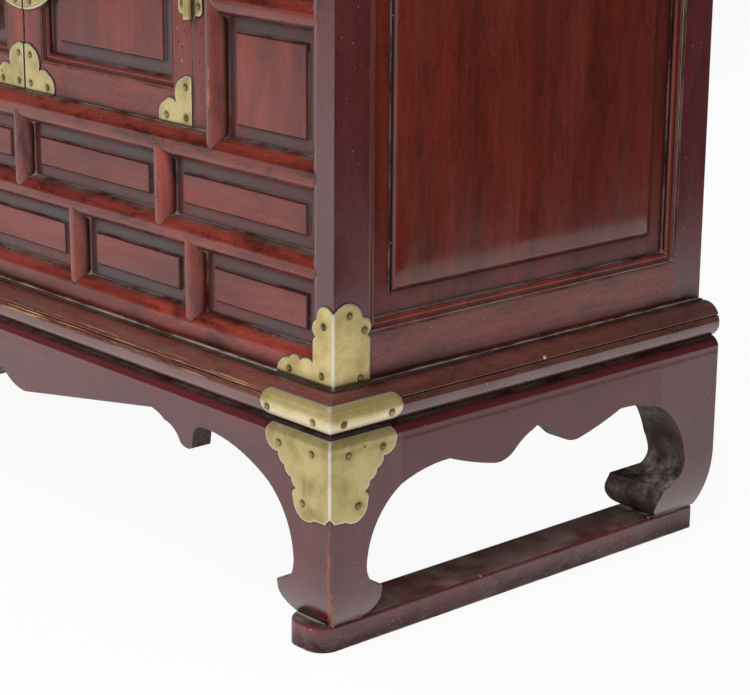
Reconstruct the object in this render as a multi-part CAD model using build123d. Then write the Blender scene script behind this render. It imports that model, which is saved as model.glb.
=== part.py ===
from build123d import *
import os
from math import cos, radians, sin

# A chest on a scrolled stand, in millimetres. The origin is on the floor, under the middle of the whole
# chest. The front faces -Y, +X is the viewer's right and +Z is up.

# Heights, from the floor up
runner_height = 23.5
stand_height = 194.0
moulding_height = 32.0
bottom_rail_height = 27.0
lower_row_height = 53.5
upper_row_height = 50.5
sill_flat = 6.0
door_opening_height = 299.5
flank_panel_height = 100.7
drawer_row_height = 66.0
top_rail_height = 27.0
top_board_thickness = 22.0

# Body and front frame
body_width = 900.0
body_depth = 450.0
post_face = 20.75
post_side = 38.0
back_post_side = 36.0
bar_flat = 3.5
bar_slope = 10.75
recess = 12.0
bar_depth = 24.0
flank_panel_width = 113.5
jamb_flat = 25.0
upper_muntin_share = 0.521
lower_muntin_shares = (0.2055, 0.62)

# Raised panels of the front
panel_board = 6.0
panel_tongue = 6.0
panel_margin = 12.0
field_rise = 3.0
field_chamfer = 1.2
groove_gap = 0.15

# Side frames and side panels
side_rail_height = 39.0
side_rail_thickness = 24.0
side_recess = 9.0
side_board = 7.0
side_margin = 29.0
side_field_rise = 3.0
side_field_chamfer = 1.6
bead_width = 10.0
bead_set = 1.5

# Back, floor, shelf and top
back_rail_height = 39.0
back_rail_thickness = 24.0
back_board = 8.0
back_board_set = 8.0
floor_thickness = 12.0
shelf_thickness = 12.0
top_overhang = 12.0
top_edge_round = 7.0

# Base moulding
moulding_reach = 26.0
moulding_inner = 32.0
quirk_depth = 1.6
quirk_width = 1.4
fillet_height = 1.0

# Stand
shoulder_in = 8.5
shoulder_drop = 14.0
leg_head = 78.0
leg_thickness = 44.0
leg_arch_height = 117.5
front_neck = 45.5
side_neck = 40.5
front_toe = 76.0
side_toe = 64.0
front_foot = 65.0
side_foot = 52.0
foot_in = 21.0
foot_curve_height = 60.0
toe_height = 32.0
apron_thickness = 20.0
front_apron_drop = 60.5
side_apron_drop = 59.0
back_apron_drop = 44.0
runner_width = 48.0
runner_set = 21.5
runner_front_set = 8.0
runner_corner = 18.0
runner_back_corner = 4.0
runner_edge = 4.0

# Brass plates and nails
plate_thickness = 1.2
nail_radius = 2.7
nail_rise = 1.3
body_plate_height = 64.5
body_plate_arm = 70.0
body_plate_side = 38.5
strap_front = 86.0
strap_side = 78.0
strap_low = 5.5
strap_high = 27.0
leg_plate_width = 78.0
leg_plate_side = 70.0
leg_plate_height = 71.0
leg_plate_top = 1.4
door_plate_width = 48.0
door_plate_height = 42.0

# Doors
door_gap = 1.0
meeting_gap = 2.8
door_clear = 0.7
door_thickness = 20.0
door_stile = 25.0
door_rail = 28.0
door_recess = 8.0
door_margin = 13.0
door_field_rise = 3.0
door_bead_width = 9.0
door_bead_set = 0.8
lock_plate_radius = 74.0
lock_block_radius = 66.0
lock_height = 148.0
door_pull_place = 40.0
door_pull_drop = 12.0

# Hinges
hinge_height = 46.0
lower_hinge_place = 118.0
upper_hinge_drop = 71.0
knuckle_radius = 4.0
knuckle_proud = 0.3
knuckle_gap = 0.3
knuckle_share = 1 / 3
hinge_tail = 3.0
pin_radius = 1.6
running_gap = 0.05
jamb_leaf_width = 15.5
door_leaf_width = 17.0
leaf_corner = 5.0

# Drawers
drawer_gap = 1.2
drawer_front_thickness = 14.0
drawer_side = 9.0
drawer_bottom = 5.0
drawer_length = 370.0
drawer_inset = 4.0
drawer_float = 0.4
drawer_side_drop = 8.0
guide_height = 18.0
guide_gap = 1.0

# Bails and their posts
bail_rod = 1.7
bail_arm = 8.2
bail_corner = 4.2
bail_stand_off = 6.0
post_radius = 3.2
drawer_bail_span = 62.0
drawer_bail_drop = 27.0
drawer_plate_length = 96.0
drawer_plate_height = 26.0
door_bail_span = 24.0
door_bail_drop = 26.0

# Spare length of every cut
overrun = 5.0

# Places worked out from the sizes above
bar_base = bar_flat + 2 * bar_slope
sill_height = sill_flat + 2 * bar_slope
body_low = stand_height + moulding_height
lower_row_low = body_low + bottom_rail_height
row_rail_low = lower_row_low + lower_row_height
upper_row_low = row_rail_low + bar_base
sill_low = upper_row_low + upper_row_height
door_opening_low = sill_low + sill_height
head_rail_low = door_opening_low + door_opening_height
drawer_row_low = head_rail_low + bar_base
top_rail_low = drawer_row_low + drawer_row_height
body_high = top_rail_low + top_rail_height
flank_rail_low = door_opening_low + flank_panel_height

half_width = body_width / 2
front_reach = moulding_reach + plate_thickness + nail_rise
overall_depth = body_depth + front_reach
front = front_reach - overall_depth / 2
back = front + body_depth
stand_side = half_width + moulding_reach
stand_front = front - moulding_reach
stand_middle = (stand_front + back) / 2
panel_face = front + recess
post_inner = half_width - post_face - bar_slope
flank_inner = post_inner - flank_panel_width
jamb_bar = flank_inner - bar_base
door_opening_half = jamb_bar - jamb_flat
upper_muntin_place = upper_muntin_share * post_inner
panel_back_side = half_width - side_recess - side_board
quarter_share = sin(radians(45))


# Building helpers
def block(x0, x1, y0, y1, z0, z1):
    """A square board between two corners."""
    middle = Pos((x0 + x1) / 2, (y0 + y1) / 2, (z0 + z1) / 2)
    return middle * Box(x1 - x0, y1 - y0, z1 - z0)


def outline(path, place):
    """A face round a path, where a point draws a line and a pair of points draws an arc."""
    last = path[0]
    edges = []
    for step in path[1:] + path[:1]:
        if isinstance(step[0], tuple):
            middle, end = step
            edges.append(ThreePointArc(place(*last), place(*middle), place(*end)))
        else:
            end = step
            if end != last:
                edges.append(Line(place(*last), place(*end)))
        last = end
    return make_face(edges)


def front_prism(path, y0, y1):
    """A path of x and z, carried along y."""
    return extrude(outline(path, lambda x, z: (x, y0, z)), amount=y1 - y0, dir=(0, 1, 0))


def side_prism(path, x0, x1):
    """A path of y and z, carried along x."""
    return extrude(outline(path, lambda y, z: (x0, y, z)), amount=x1 - x0, dir=(1, 0, 0))


def plan_prism(path, z0, z1):
    """A path of x and y, carried along z."""
    return extrude(outline(path, lambda x, y: (x, y, z0)), amount=z1 - z0, dir=(0, 0, 1))


def both_sides(part):
    """A right-hand piece and its mirror image on the left."""
    return [part, mirror(part, about=Plane.YZ)]


def scaled(path, wide, high):
    """A path of shares, in lengths."""
    result = []
    for step in path:
        if isinstance(step[0], tuple):
            result.append(tuple((u * wide, v * high) for u, v in step))
        else:
            result.append((step[0] * wide, step[1] * high))
    return result


def points_of(step):
    """The points of one step of a path: one for a line, two for an arc."""
    return step if isinstance(step[0], tuple) else (step,)


def moved(path, place):
    """A path with every point put through a function."""
    result = []
    for step in path:
        if isinstance(step[0], tuple):
            result.append(tuple(place(*point) for point in step))
        else:
            result.append(place(*step))
    return result


# Moulded bars of the front frame
def bar_path(flat_low, flat_high, slope_low, slope_high, depth):
    """Section of a bar across its width and into the chest: a narrow flat with rounded shoulders."""
    base_low = flat_low - slope_low
    base_high = flat_high + slope_high
    swell = recess * (1 - quarter_share)
    path = [(base_low, depth)]
    if slope_low:
        path.append((base_low, recess))
        path.append(((flat_low - slope_low * quarter_share, swell), (flat_low, 0)))
    else:
        path.append((flat_low, 0))
    path.append((flat_high, 0))
    if slope_high:
        path.append(((flat_high + slope_high * quarter_share, swell), (base_high, recess)))
    path.append((base_high, depth))
    return path


def rail(x0, x1, flat_low, flat_high, slope_low=bar_slope, slope_high=bar_slope):
    """A level bar of the front."""
    path = bar_path(flat_low, flat_high, slope_low, slope_high, bar_depth)
    return side_prism(moved(path, lambda z, d: (front + d, z)), x0, x1)


def upright(z0, z1, flat_low, flat_high, slope_low=bar_slope, slope_high=bar_slope, depth=bar_depth):
    """A standing bar of the front."""
    path = bar_path(flat_low, flat_high, slope_low, slope_high, depth)
    return plan_prism(moved(path, lambda x, d: (x, front + d)), z0, z1)


def muntin(place, rail_below, rail_above, z0, z1):
    """A short upright scribed to the rails below and above it."""
    return upright(z0, z1, place - bar_flat / 2, place + bar_flat / 2) - rail_below - rail_above


# Raised boards: the field stands towards -Y in front of the margin at y = 0
def raised_board(wide, high, margin, rise, board, tongue, edge):
    """A board with a raised field and a tongue all round, standing on z = 0."""
    sheet = block(-wide / 2 - tongue, wide / 2 + tongue, 0, board, -tongue, high + tongue)
    field = block(margin - wide / 2, wide / 2 - margin, -rise, 0, margin, high - margin)
    field = chamfer(field.faces().sort_by(Axis.Y)[0].edges(), edge)
    return sheet + field


def tongue_room(wide, high, board, tongue):
    """The groove that a raised board's tongue runs in."""
    reach = tongue + groove_gap
    return block(-wide / 2 - reach, wide / 2 + reach, -groove_gap, board + groove_gap, -reach, high + reach)


# Bead strips: a mitred frame inside an opening that stands on z = 0, its face at y = 0
bead_shares = [
    (0, 0),
    (0.22, 0),
    (0.22, 0.2),
    ((0.4, 0.36), (0.58, 0.3)),
    ((0.9, 0.36), (1, 0.75)),
    (1, 1),
    (0, 1),
]


def bead_path(wide, set_in, deep):
    """Section of a bead strip, inward from the frame and into the chest: fillet, cove and round bead."""
    drop = deep - set_in
    return moved(scaled(bead_shares, wide, drop), lambda u, d: (u, d + set_in))


def bead_frame(wide, high, path, strip):
    """Four bead strips with mitred ends."""
    deep = max(points_of(step)[-1][1] for step in path)
    half = wide / 2
    low = side_prism(moved(path, lambda u, d: (d, u)), -half, half)
    low_wedge = [(-half, 0), (half, 0), (half - strip, strip), (strip - half, strip)]
    side = plan_prism(moved(path, lambda u, d: (half - u, d)), 0, high)
    side_wedge = [(half, 0), (half, high), (half - strip, high - strip), (half - strip, strip)]
    low = low & front_prism(low_wedge, 0, deep)
    side = side & front_prism(side_wedge, 0, deep)
    middle = Plane(origin=(0, 0, high / 2), z_dir=(0, 0, 1))
    return [low, mirror(low, about=middle), side, mirror(side, about=Plane.YZ)]


# Front frame
def front_frame():
    """Posts, rails, muntins, jambs and the raised panels between them."""
    post_flat = half_width - post_face
    post = upright(body_low, body_high, post_flat, half_width, bar_slope, 0, post_side)
    posts = both_sides(post)

    def cut_by(part, others):
        for other in others:
            part = part - other
        return part

    def full_rail(flat_low, flat_high, slope_low, slope_high):
        return cut_by(rail(-post_flat, post_flat, flat_low, flat_high, slope_low, slope_high), posts)

    bottom_flat = lower_row_low - bar_slope
    row_flat = row_rail_low + bar_slope
    sill_flat_low = sill_low + bar_slope
    head_flat = head_rail_low + bar_slope
    top_flat = top_rail_low + bar_slope
    bottom_rail = full_rail(body_low, bottom_flat, 0, bar_slope)
    row_rail = full_rail(row_flat, row_flat + bar_flat, bar_slope, bar_slope)
    sill_rail = full_rail(sill_flat_low, sill_flat_low + sill_flat, bar_slope, bar_slope)
    head_rail = full_rail(head_flat, head_flat + bar_flat, bar_slope, bar_slope)
    top_rail = full_rail(top_flat, body_high, bar_slope, 0)

    lower_places = [share * post_inner for share in lower_muntin_shares]
    lower_muntins = []
    for place in lower_places:
        lower_muntins += both_sides(muntin(place, bottom_rail, row_rail, bottom_flat, row_flat))
    upper_muntins = [muntin(0, row_rail, sill_rail, row_flat + bar_flat, sill_flat_low)]
    upper_muntins += both_sides(
        muntin(upper_muntin_place, row_rail, sill_rail, row_flat + bar_flat, sill_flat_low)
    )
    drawer_places = (post_inner + bar_base / 2) / 3
    drawer_muntins = both_sides(muntin(drawer_places, head_rail, top_rail, head_flat + bar_flat, top_flat))

    jamb_low = sill_flat_low + sill_flat
    jamb_board = block(door_opening_half, jamb_bar, panel_face, front + bar_depth, jamb_low, head_flat)
    jamb = upright(jamb_low, head_flat, jamb_bar + bar_slope, jamb_bar + bar_slope + bar_flat) + jamb_board
    jamb = jamb - sill_rail - head_rail
    jambs = both_sides(jamb)
    flank_flat = flank_rail_low + bar_slope
    flank_rail = rail(jamb_bar + bar_slope + bar_flat, post_flat, flank_flat, flank_flat + bar_flat)
    flank_rails = both_sides(flank_rail - jamb - post)

    # Openings, each with its left, right, low and high limits
    half_base = bar_base / 2
    lower_edges = [-post_inner]
    for place in sorted([-p for p in lower_places] + lower_places):
        lower_edges += [place - half_base, place + half_base]
    lower_edges.append(post_inner)
    upper_edges = [-post_inner]
    for place in (-upper_muntin_place, 0, upper_muntin_place):
        upper_edges += [place - half_base, place + half_base]
    upper_edges.append(post_inner)
    flank_high = flank_rail_low + bar_base
    flank_spans = [(door_opening_low, flank_rail_low), (flank_high, head_rail_low)]
    rows = {
        "lower_row_panels": [(a, b, lower_row_low, row_rail_low) for a, b in pairs(lower_edges)],
        "upper_row_panels": [(a, b, upper_row_low, sill_low) for a, b in pairs(upper_edges)],
        "flank_panels": [
            (a, b, low, high)
            for low, high in flank_spans
            for a, b in ((-post_inner, -flank_inner), (flank_inner, post_inner))
        ],
    }
    panels = {}
    rooms = []
    for name, openings in rows.items():
        panels[name] = []
        for x0, x1, z0, z1 in openings:
            spot = Pos((x0 + x1) / 2, panel_face, z0)
            size = (x1 - x0, z1 - z0)
            board = raised_board(*size, panel_margin, field_rise, panel_board, panel_tongue, field_chamfer)
            panels[name].append(spot * board)
            rooms.append(spot * tongue_room(*size, panel_board, panel_tongue))

    frame = {
        "front_posts": posts,
        "front_rails": [bottom_rail, row_rail, sill_rail, head_rail, top_rail],
        "lower_row_muntins": lower_muntins,
        "upper_row_muntins": upper_muntins,
        "drawer_muntins": drawer_muntins,
        "door_jambs": jambs,
        "flank_rails": flank_rails,
    }
    for name, parts in frame.items():
        frame[name] = [grooved(part, rooms) for part in parts]
    return frame | panels


def pairs(edges):
    """Left and right limits of the openings between a row of edges."""
    return list(zip(edges[::2], edges[1::2]))


def grooved(part, rooms):
    """A frame member with the grooves of the boards that reach into it."""
    limits = part.bounding_box()
    for room in rooms:
        near = room.bounding_box()
        apart = [
            near.min.X >= limits.max.X or near.max.X <= limits.min.X,
            near.min.Y >= limits.max.Y or near.max.Y <= limits.min.Y,
            near.min.Z >= limits.max.Z or near.max.Z <= limits.min.Z,
        ]
        if not any(apart):
            part = part - room
    return part


# Sides, back, floor, shelf and top
def carcass(front_posts):
    """Side frames with their panels and beads, the back, the boards inside and the top."""
    side_front = front + post_side
    side_back = back - back_post_side
    side_wide = side_back - side_front
    side_low = body_low + side_rail_height
    side_high = body_high - side_rail_height
    side_tall = side_high - side_low
    to_side = Pos(half_width, (side_front + side_back) / 2, side_low) * Rot(0, 0, 90)
    to_panel = Pos(half_width - side_recess, (side_front + side_back) / 2, side_low) * Rot(0, 0, 90)
    panel = to_panel * raised_board(
        side_wide, side_tall, side_margin, side_field_rise, side_board, panel_tongue, side_field_chamfer
    )
    side_rooms = both_sides(to_panel * tongue_room(side_wide, side_tall, side_board, panel_tongue))
    beads = bead_frame(side_wide, side_tall, bead_path(bead_width, bead_set, side_recess), bead_width)
    side_beads = [half for strip in beads for half in both_sides(to_side * strip)]

    inner = half_width - side_rail_thickness
    side_rails = both_sides(block(inner, half_width, side_front, side_back, body_low, side_low))
    side_rails += both_sides(block(inner, half_width, side_front, side_back, side_high, body_high))
    back_posts = both_sides(block(post_inner, half_width, side_back, back, body_low, body_high))

    rail_front = back - back_rail_thickness
    back_low = body_low + back_rail_height
    back_high = body_high - back_rail_height
    back_rails = [block(-post_inner, post_inner, rail_front, back, body_low, back_low)]
    back_rails.append(block(-post_inner, post_inner, rail_front, back, back_high, body_high))
    board_back = back - back_board_set
    reach = post_inner + panel_tongue
    back_panel = block(
        -reach, reach, board_back - back_board, board_back, back_low - panel_tongue, back_high + panel_tongue
    )
    gap = groove_gap
    back_room = block(
        -reach - gap,
        reach + gap,
        board_back - back_board - gap,
        board_back + gap,
        back_low - panel_tongue - gap,
        back_high + panel_tongue + gap,
    )
    rooms = side_rooms + [back_room]

    board_half = panel_back_side
    board_front = front + bar_depth
    floor = block(-inner, inner, board_front, rail_front, body_low, body_low + floor_thickness)
    shelf_low = drawer_row_low - shelf_thickness
    shelf = block(-board_half, board_half, board_front, board_back - back_board, shelf_low, drawer_row_low)
    for post in front_posts + back_posts:
        floor = floor - post
        shelf = shelf - post

    top_high = body_high + top_board_thickness
    top_half = half_width + top_overhang
    top = block(-top_half, top_half, front - top_overhang, back, body_high, top_high)
    rim = [e for e in top.edges() if e.center().Y < back - overrun and e.center().Z > top_high - overrun]
    top = fillet(rim, top_edge_round)

    return {
        "front_posts": [grooved(part, side_rooms) for part in front_posts],
        "back_posts": [grooved(part, rooms) for part in back_posts],
        "side_rails": [grooved(part, side_rooms) for part in side_rails],
        "side_panels": both_sides(panel),
        "side_beads": side_beads,
        "back_rails": [grooved(part, [back_room]) for part in back_rails],
        "back_panel": [back_panel],
        "cabinet_floor": [floor],
        "drawer_shelf": [shelf],
        "top_board": [top],
    }


# Base moulding: a frame under the body, mitred at the two front corners
torus_middle_share = 0.36
torus_height_share = 0.62
torus_top_share = 0.94
ovolo_middle_shares = (0.76, 0.86)
ovolo_top_share = 0.18


def moulding_path(quirk):
    """Section of the base moulding by its reach in front of the body and its height."""
    reach = moulding_reach
    high = moulding_height
    torus_reach = reach * torus_top_share
    torus_high = high * torus_height_share
    ovolo_reach = reach * ovolo_top_share
    ovolo_middle = (ovolo_middle_shares[0] * reach, ovolo_middle_shares[1] * high)
    path = [
        (reach - shoulder_in, 0),
        ((reach, torus_middle_share * high), (torus_reach, torus_high)),
        (torus_reach - quirk, torus_high),
        (torus_reach - quirk, torus_high + quirk_width),
        (torus_reach, torus_high + quirk_width),
        (ovolo_middle, (ovolo_reach, high - fillet_height)),
        (ovolo_reach, high),
    ]
    return moved(path, lambda p, h: (p, stand_height + h))


def base_moulding():
    """The front moulding and the two side mouldings."""
    path = moulding_path(quirk_depth) + [(-moulding_inner, body_low), (-moulding_inner, stand_height)]
    inner_x = half_width - moulding_inner
    inner_y = front + moulding_inner
    front_piece = side_prism(moved(path, lambda p, z: (front - p, z)), -stand_side, stand_side)
    front_plan = [
        (-stand_side, stand_front),
        (stand_side, stand_front),
        (inner_x, inner_y),
        (-inner_x, inner_y),
    ]
    side_piece = front_prism(moved(path, lambda p, z: (half_width + p, z)), stand_front, back)
    side_plan = [(stand_side, stand_front), (inner_x, inner_y), (inner_x, back), (stand_side, back)]
    front_piece = front_piece & plan_prism(front_plan, stand_height, body_low)
    side_piece = side_piece & plan_prism(side_plan, stand_height, body_low)
    back_bar = block(-inner_x, inner_x, back - moulding_inner, back, stand_height, body_low)
    return {
        "base_moulding_front": [front_piece],
        "base_moulding_sides": both_sides(side_piece),
        "base_back_bar": [back_bar],
    }


# Stand: legs, aprons and floor runners
shoulder_bulge_share = 0.24
foot_bulge_shares = (0.3, 0.46)
neck_height_share = 0.51
toe_low_shares = (0.96, 0.3)
toe_tip_share = 0.7
toe_top_share = 0.9
heel_shares = (0.22, 0.3)
arch_shares = (0.34, 0.6)


def shoulder_steps():
    """The rounded shoulder at the top of the stand, by its distance in from the face and its height."""
    bulge = (shoulder_in * shoulder_bulge_share, stand_height - shoulder_drop * (1 - quarter_share))
    return [(shoulder_in, stand_height), (bulge, (0, stand_height - shoulder_drop))]


def leg_path(neck, toe, foot, curved):
    """Outline of a leg, by its distance in from the outer face and its height."""
    arch = runner_height + leg_arch_height
    toe_top = runner_height + toe_height
    neck_height = runner_height + neck_height_share * leg_arch_height
    if curved:
        bulge = (foot_in * foot_bulge_shares[0], runner_height + foot_curve_height * foot_bulge_shares[1])
        path = shoulder_steps() + [(0, runner_height + foot_curve_height), (bulge, (foot_in, runner_height))]
    else:
        path = [(0, stand_height), (0, runner_height)]
    reach = toe - neck
    head = leg_head - neck
    rise = arch - neck_height
    toe_low = (neck + toe_low_shares[0] * reach, runner_height + toe_low_shares[1] * toe_height)
    toe_tip = (toe, runner_height + toe_tip_share * toe_height)
    heel = (neck + heel_shares[0] * reach, toe_top + heel_shares[1] * toe_height)
    crown = (neck + arch_shares[0] * head, neck_height + arch_shares[1] * rise)
    path += [
        (foot, runner_height),
        (toe_low, toe_tip),
        (neck + toe_top_share * reach, toe_top),
        (heel, (neck, neck_height)),
        (crown, (leg_head, arch)),
        (leg_head, stand_height),
    ]
    return path


def legs():
    """The front and back legs, carved from two sides."""
    face_path = leg_path(front_neck, front_toe, front_foot, True)
    side_path = leg_path(side_neck, side_toe, side_foot, True)
    back_path = leg_path(side_neck, side_toe, side_foot, False)
    inner_x = stand_side - leg_thickness

    def carved(path, outer, inward):
        near = outer + inward * leg_head
        low, high = sorted((outer, near))
        seen = front_prism(moved(face_path, lambda a, z: (stand_side - a, z)), low, high)
        profile = moved(path, lambda b, z: (outer + inward * b, z))
        leg = seen & side_prism(profile, stand_side - leg_head, stand_side)
        hollow = sorted((outer + inward * leg_thickness, near + inward * overrun))
        return leg - block(inner_x - leg_head, inner_x, *hollow, runner_height + toe_height, stand_height)

    front_leg = carved(side_path, stand_front, 1)
    back_leg = carved(back_path, back, -1)
    return {"front_legs": both_sides(front_leg), "back_legs": both_sides(back_leg)}


front_apron_shares = [
    (0, 0.727),
    ((0.035, 0.9), (0.0955, 1.0)),
    (0.598, 0.463),
    ((0.625, 0.51), (0.645, 0.58)),
    ((0.683, 0.68), (0.7, 0.82)),
    ((0.719, 0.875), (0.742, 0.85)),
    (0.747, 0.64),
    ((0.757, 0.53), (0.778, 0.475)),
]
side_apron_shares = [
    (0, 0.6),
    (0.045, 0.66),
    ((0.14, 0.8), (0.17, 0.87)),
    ((0.24, 0.985), (0.33, 1.0)),
    ((0.5, 0.88), (0.66, 0.73)),
]


def apron_steps(shares, half, drop, joint):
    """Lower edge of half an apron, from its middle to the leg, where the leg's arch runs on."""
    start = points_of(shares[-1])[-1]
    joint_share = (stand_height - joint) / drop
    crown = ((1 + start[0]) / 2, start[1] + 0.22 * (joint_share - start[1]))
    steps = shares + [(crown, (1, joint_share))]
    return moved(scaled(steps, half, drop), lambda s, fall: (s, stand_height - fall))


def aprons():
    """The scrolled front and side aprons and the plain back apron."""
    arch = runner_height + leg_arch_height
    low = runner_height
    front_half = stand_side - leg_head
    edge = apron_steps(front_apron_shares, front_half, front_apron_drop, arch)
    right = front_prism(
        edge + [(front_half, stand_height), (0, stand_height)], stand_front, stand_front + apron_thickness
    )
    shoulder = shoulder_steps() + [(0, low), (apron_thickness, low), (apron_thickness, stand_height)]
    front_round = side_prism(moved(shoulder, lambda d, z: (stand_front + d, z)), -front_half, front_half)
    front_apron = (right + mirror(right, about=Plane.YZ)) & front_round

    side_half = (back - stand_front) / 2 - leg_head
    edge = apron_steps(side_apron_shares, side_half, side_apron_drop, arch)
    rear = moved(edge + [(side_half, stand_height), (0, stand_height)], lambda t, z: (stand_middle + t, z))
    rear = side_prism(rear, stand_side - apron_thickness, stand_side)
    middle = Plane(origin=(0, stand_middle, 0), z_dir=(0, 1, 0))
    side_round = front_prism(
        moved(shoulder, lambda d, z: (stand_side - d, z)), stand_middle - side_half, stand_middle + side_half
    )
    side_apron = (rear + mirror(rear, about=middle)) & side_round

    back_low = stand_height - back_apron_drop
    back_apron = block(-front_half, front_half, back - apron_thickness, back, back_low, stand_height)
    return {"front_apron": [front_apron], "side_aprons": both_sides(side_apron), "back_apron": [back_apron]}


def floor_runners():
    """The two runners under the feet, with rounded ends."""
    outer = stand_side - runner_set
    runner = block(outer - runner_width, outer, stand_front + runner_front_set, back, 0, runner_height)
    uprights = runner.edges().filter_by(Axis.Z).sort_by(Axis.Y)
    runner = fillet(uprights[:2], runner_corner)
    uprights = runner.edges().filter_by(Axis.Z).sort_by(Axis.Y)
    runner = fillet(uprights[-2:], runner_back_corner)
    runner = fillet(runner.faces().sort_by(Axis.Z)[-1].edges(), runner_edge)
    return {"floor_runners": both_sides(runner)}


# Brass: corner plates wrapped round a moulded corner, flat plates and domed nails
def wrapped_plate(path, front_path, side_path, corner_x, corner_y, wrap):
    """A plate bent round a corner, cut to one outline on the front and another on the side.

    The path runs down or up the face of the corner, by its distance in and its height."""
    reach = max(point[0] for step in front_path + side_path for point in points_of(step)) + overrun
    closed = path + [(reach, points_of(path[-1])[-1][1]), (reach, path[0][1])]
    section = outline(closed, lambda d, z: (d, 0, z))
    skin = offset(section, amount=plate_thickness)

    def corner(face, grow):
        to_front = Pos(corner_x + grow, corner_y, 0) * Rot(0, 0, 90)
        to_side = Pos(corner_x, corner_y - grow, 0) * Rot(0, 0, 180)
        along_front = extrude(to_front * face, amount=reach, dir=(-1, 0, 0))
        along_side = extrude(to_side * face, amount=reach, dir=(0, 1, 0))
        return along_front & along_side

    shell = corner(skin, plate_thickness) - corner(section, 0)
    skin_out = plate_thickness + overrun
    seen = moved(front_path, lambda d, z: (corner_x - d, z))
    beside = moved(side_path, lambda d, z: (corner_y + d, z))
    seen = front_prism(seen, corner_y - skin_out, corner_y + wrap)
    beside = side_prism(beside, corner_x - wrap, corner_x + skin_out)
    return shell & (seen + beside)


nail_shares = [(0, 0), (1, 0), (0.93, 0.42), (0.66, 0.8), (0.3, 0.97), (0, 1)]


def nail(x, y, z, turn):
    """A hammered, domed nail head on a face that looks towards -Y, turned about the upright axis."""
    half = outline(scaled(nail_shares, nail_radius, nail_rise), lambda r, h: (r, -h, 0))
    return Pos(x, y, z) * Rot(0, 0, turn) * revolve(half, axis=Axis.Y)


body_front_shares = [
    (0, 0.97),
    ((0.125, 1.04), (0.27, 0.85)),
    ((0.35, 0.75), (0.3, 0.62)),
    ((0.335, 0.58), (0.345, 0.53)),
    (0.345, 0.275),
    ((0.47, 0.305), (0.57, 0.25)),
    ((0.68, 0.3), (0.77, 0.235)),
    ((0.92, 0.18), (1, 0)),
]
body_side_shares = [
    (0, 0.97),
    ((0.42, 1.07), (0.79, 0.85)),
    ((1.02, 0.74), (0.91, 0.62)),
    ((0.98, 0.58), (1, 0.52)),
    (1, 0),
]
body_front_nail_shares = [(0.155, 0.78), (0.19, 0.13), (0.77, 0.095)]
body_side_nail_shares = [(0.42, 0.91), (0.84, 0.69), (0.73, 0.07)]
leg_plate_shares = [
    (0, 0.09),
    (0.05, 0.02),
    (0.23, 0.01),
    ((0.5, 0.03), (0.57, 0.19)),
    ((0.57, 0.28), (0.51, 0.325)),
    ((0.58, 0.37), (0.6, 0.44)),
    ((0.68, 0.48), (0.71, 0.56)),
    ((0.79, 0.61), (0.81, 0.695)),
    ((1, 0.79), (0.96, 1)),
    (0, 1),
]
leg_nail_shares = [(0.8, 0.8), (0.27, 0.8), (0.42, 0.17)]
strap_round_share = 0.4
strap_front_nail_shares = (0.23, 0.9)
strap_side_nail_shares = (0.18, 0.84)


def shut(path):
    """A plate outline closed along the corner, a little past it so that both halves meet."""
    first = path[0]
    last = points_of(path[-1])[-1]
    past = -plate_thickness - overrun
    return path + [(past, last[1]), (past, first[1])]


def carcass_brass():
    """Body corner plates, moulding straps and leg plates, with their nails."""
    nails = []

    def fix(corner_x, corner_y, front_places, side_places):
        face_y = corner_y - plate_thickness
        face_x = corner_x + plate_thickness
        for d, z in front_places:
            nails.extend(both_sides(nail(corner_x - d, face_y, z, 0)))
        for d, z in side_places:
            nails.extend(both_sides(nail(face_x, corner_y + d, z, 90)))

    def up(path, wide, high, low):
        return moved(scaled(path, wide, high), lambda d, h: (d, h + low))

    column = [(0, body_high), (0, body_low - overrun)]
    body_front = shut(up(body_front_shares, body_plate_arm, body_plate_height, body_low))
    body_side = shut(up(body_side_shares, body_plate_side, body_plate_height, body_low))
    body_plate = wrapped_plate(column, body_front, body_side, half_width, front, 0)
    fix(
        half_width,
        front,
        up(body_front_nail_shares, body_plate_arm, body_plate_height, body_low),
        up(body_side_nail_shares, body_plate_side, body_plate_height, body_low),
    )

    low = stand_height + strap_low
    high = stand_height + strap_high
    strap_section = moved(moulding_path(0), lambda p, z: (moulding_reach - p, z))
    middle = (low + high) / 2
    round_end = strap_round_share * (high - low)

    def strap_outline(length):
        straight = length - round_end
        return shut([(0, low), (straight, low), ((length, middle), (straight, high)), (0, high)])

    strap_outlines = [strap_outline(length) for length in (strap_front, strap_side)]
    strap = wrapped_plate(strap_section, *strap_outlines, stand_side, stand_front, moulding_reach)
    nail_level = stand_height + torus_middle_share * moulding_height
    ends = [(share * strap_front, nail_level) for share in strap_front_nail_shares]
    sides = [(share * strap_side, nail_level) for share in strap_side_nail_shares]
    fix(stand_side, stand_front, ends, sides)

    plate_low = stand_height - leg_plate_top - leg_plate_height
    leg_section = shoulder_steps() + [(0, runner_height + foot_curve_height)]
    outlines = []
    places = []
    for wide in (leg_plate_width, leg_plate_side):
        outlines.append(shut(up(leg_plate_shares, wide, leg_plate_height, plate_low)))
        places.append(up(leg_nail_shares, wide, leg_plate_height, plate_low))
    leg_plate = wrapped_plate(leg_section, *outlines, stand_side, stand_front, shoulder_in)
    fix(stand_side, stand_front, *places)
    return {
        "body_corner_plates": both_sides(body_plate),
        "moulding_straps": both_sides(strap),
        "leg_plates": both_sides(leg_plate),
        "carcass_nails": nails,
    }


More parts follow.
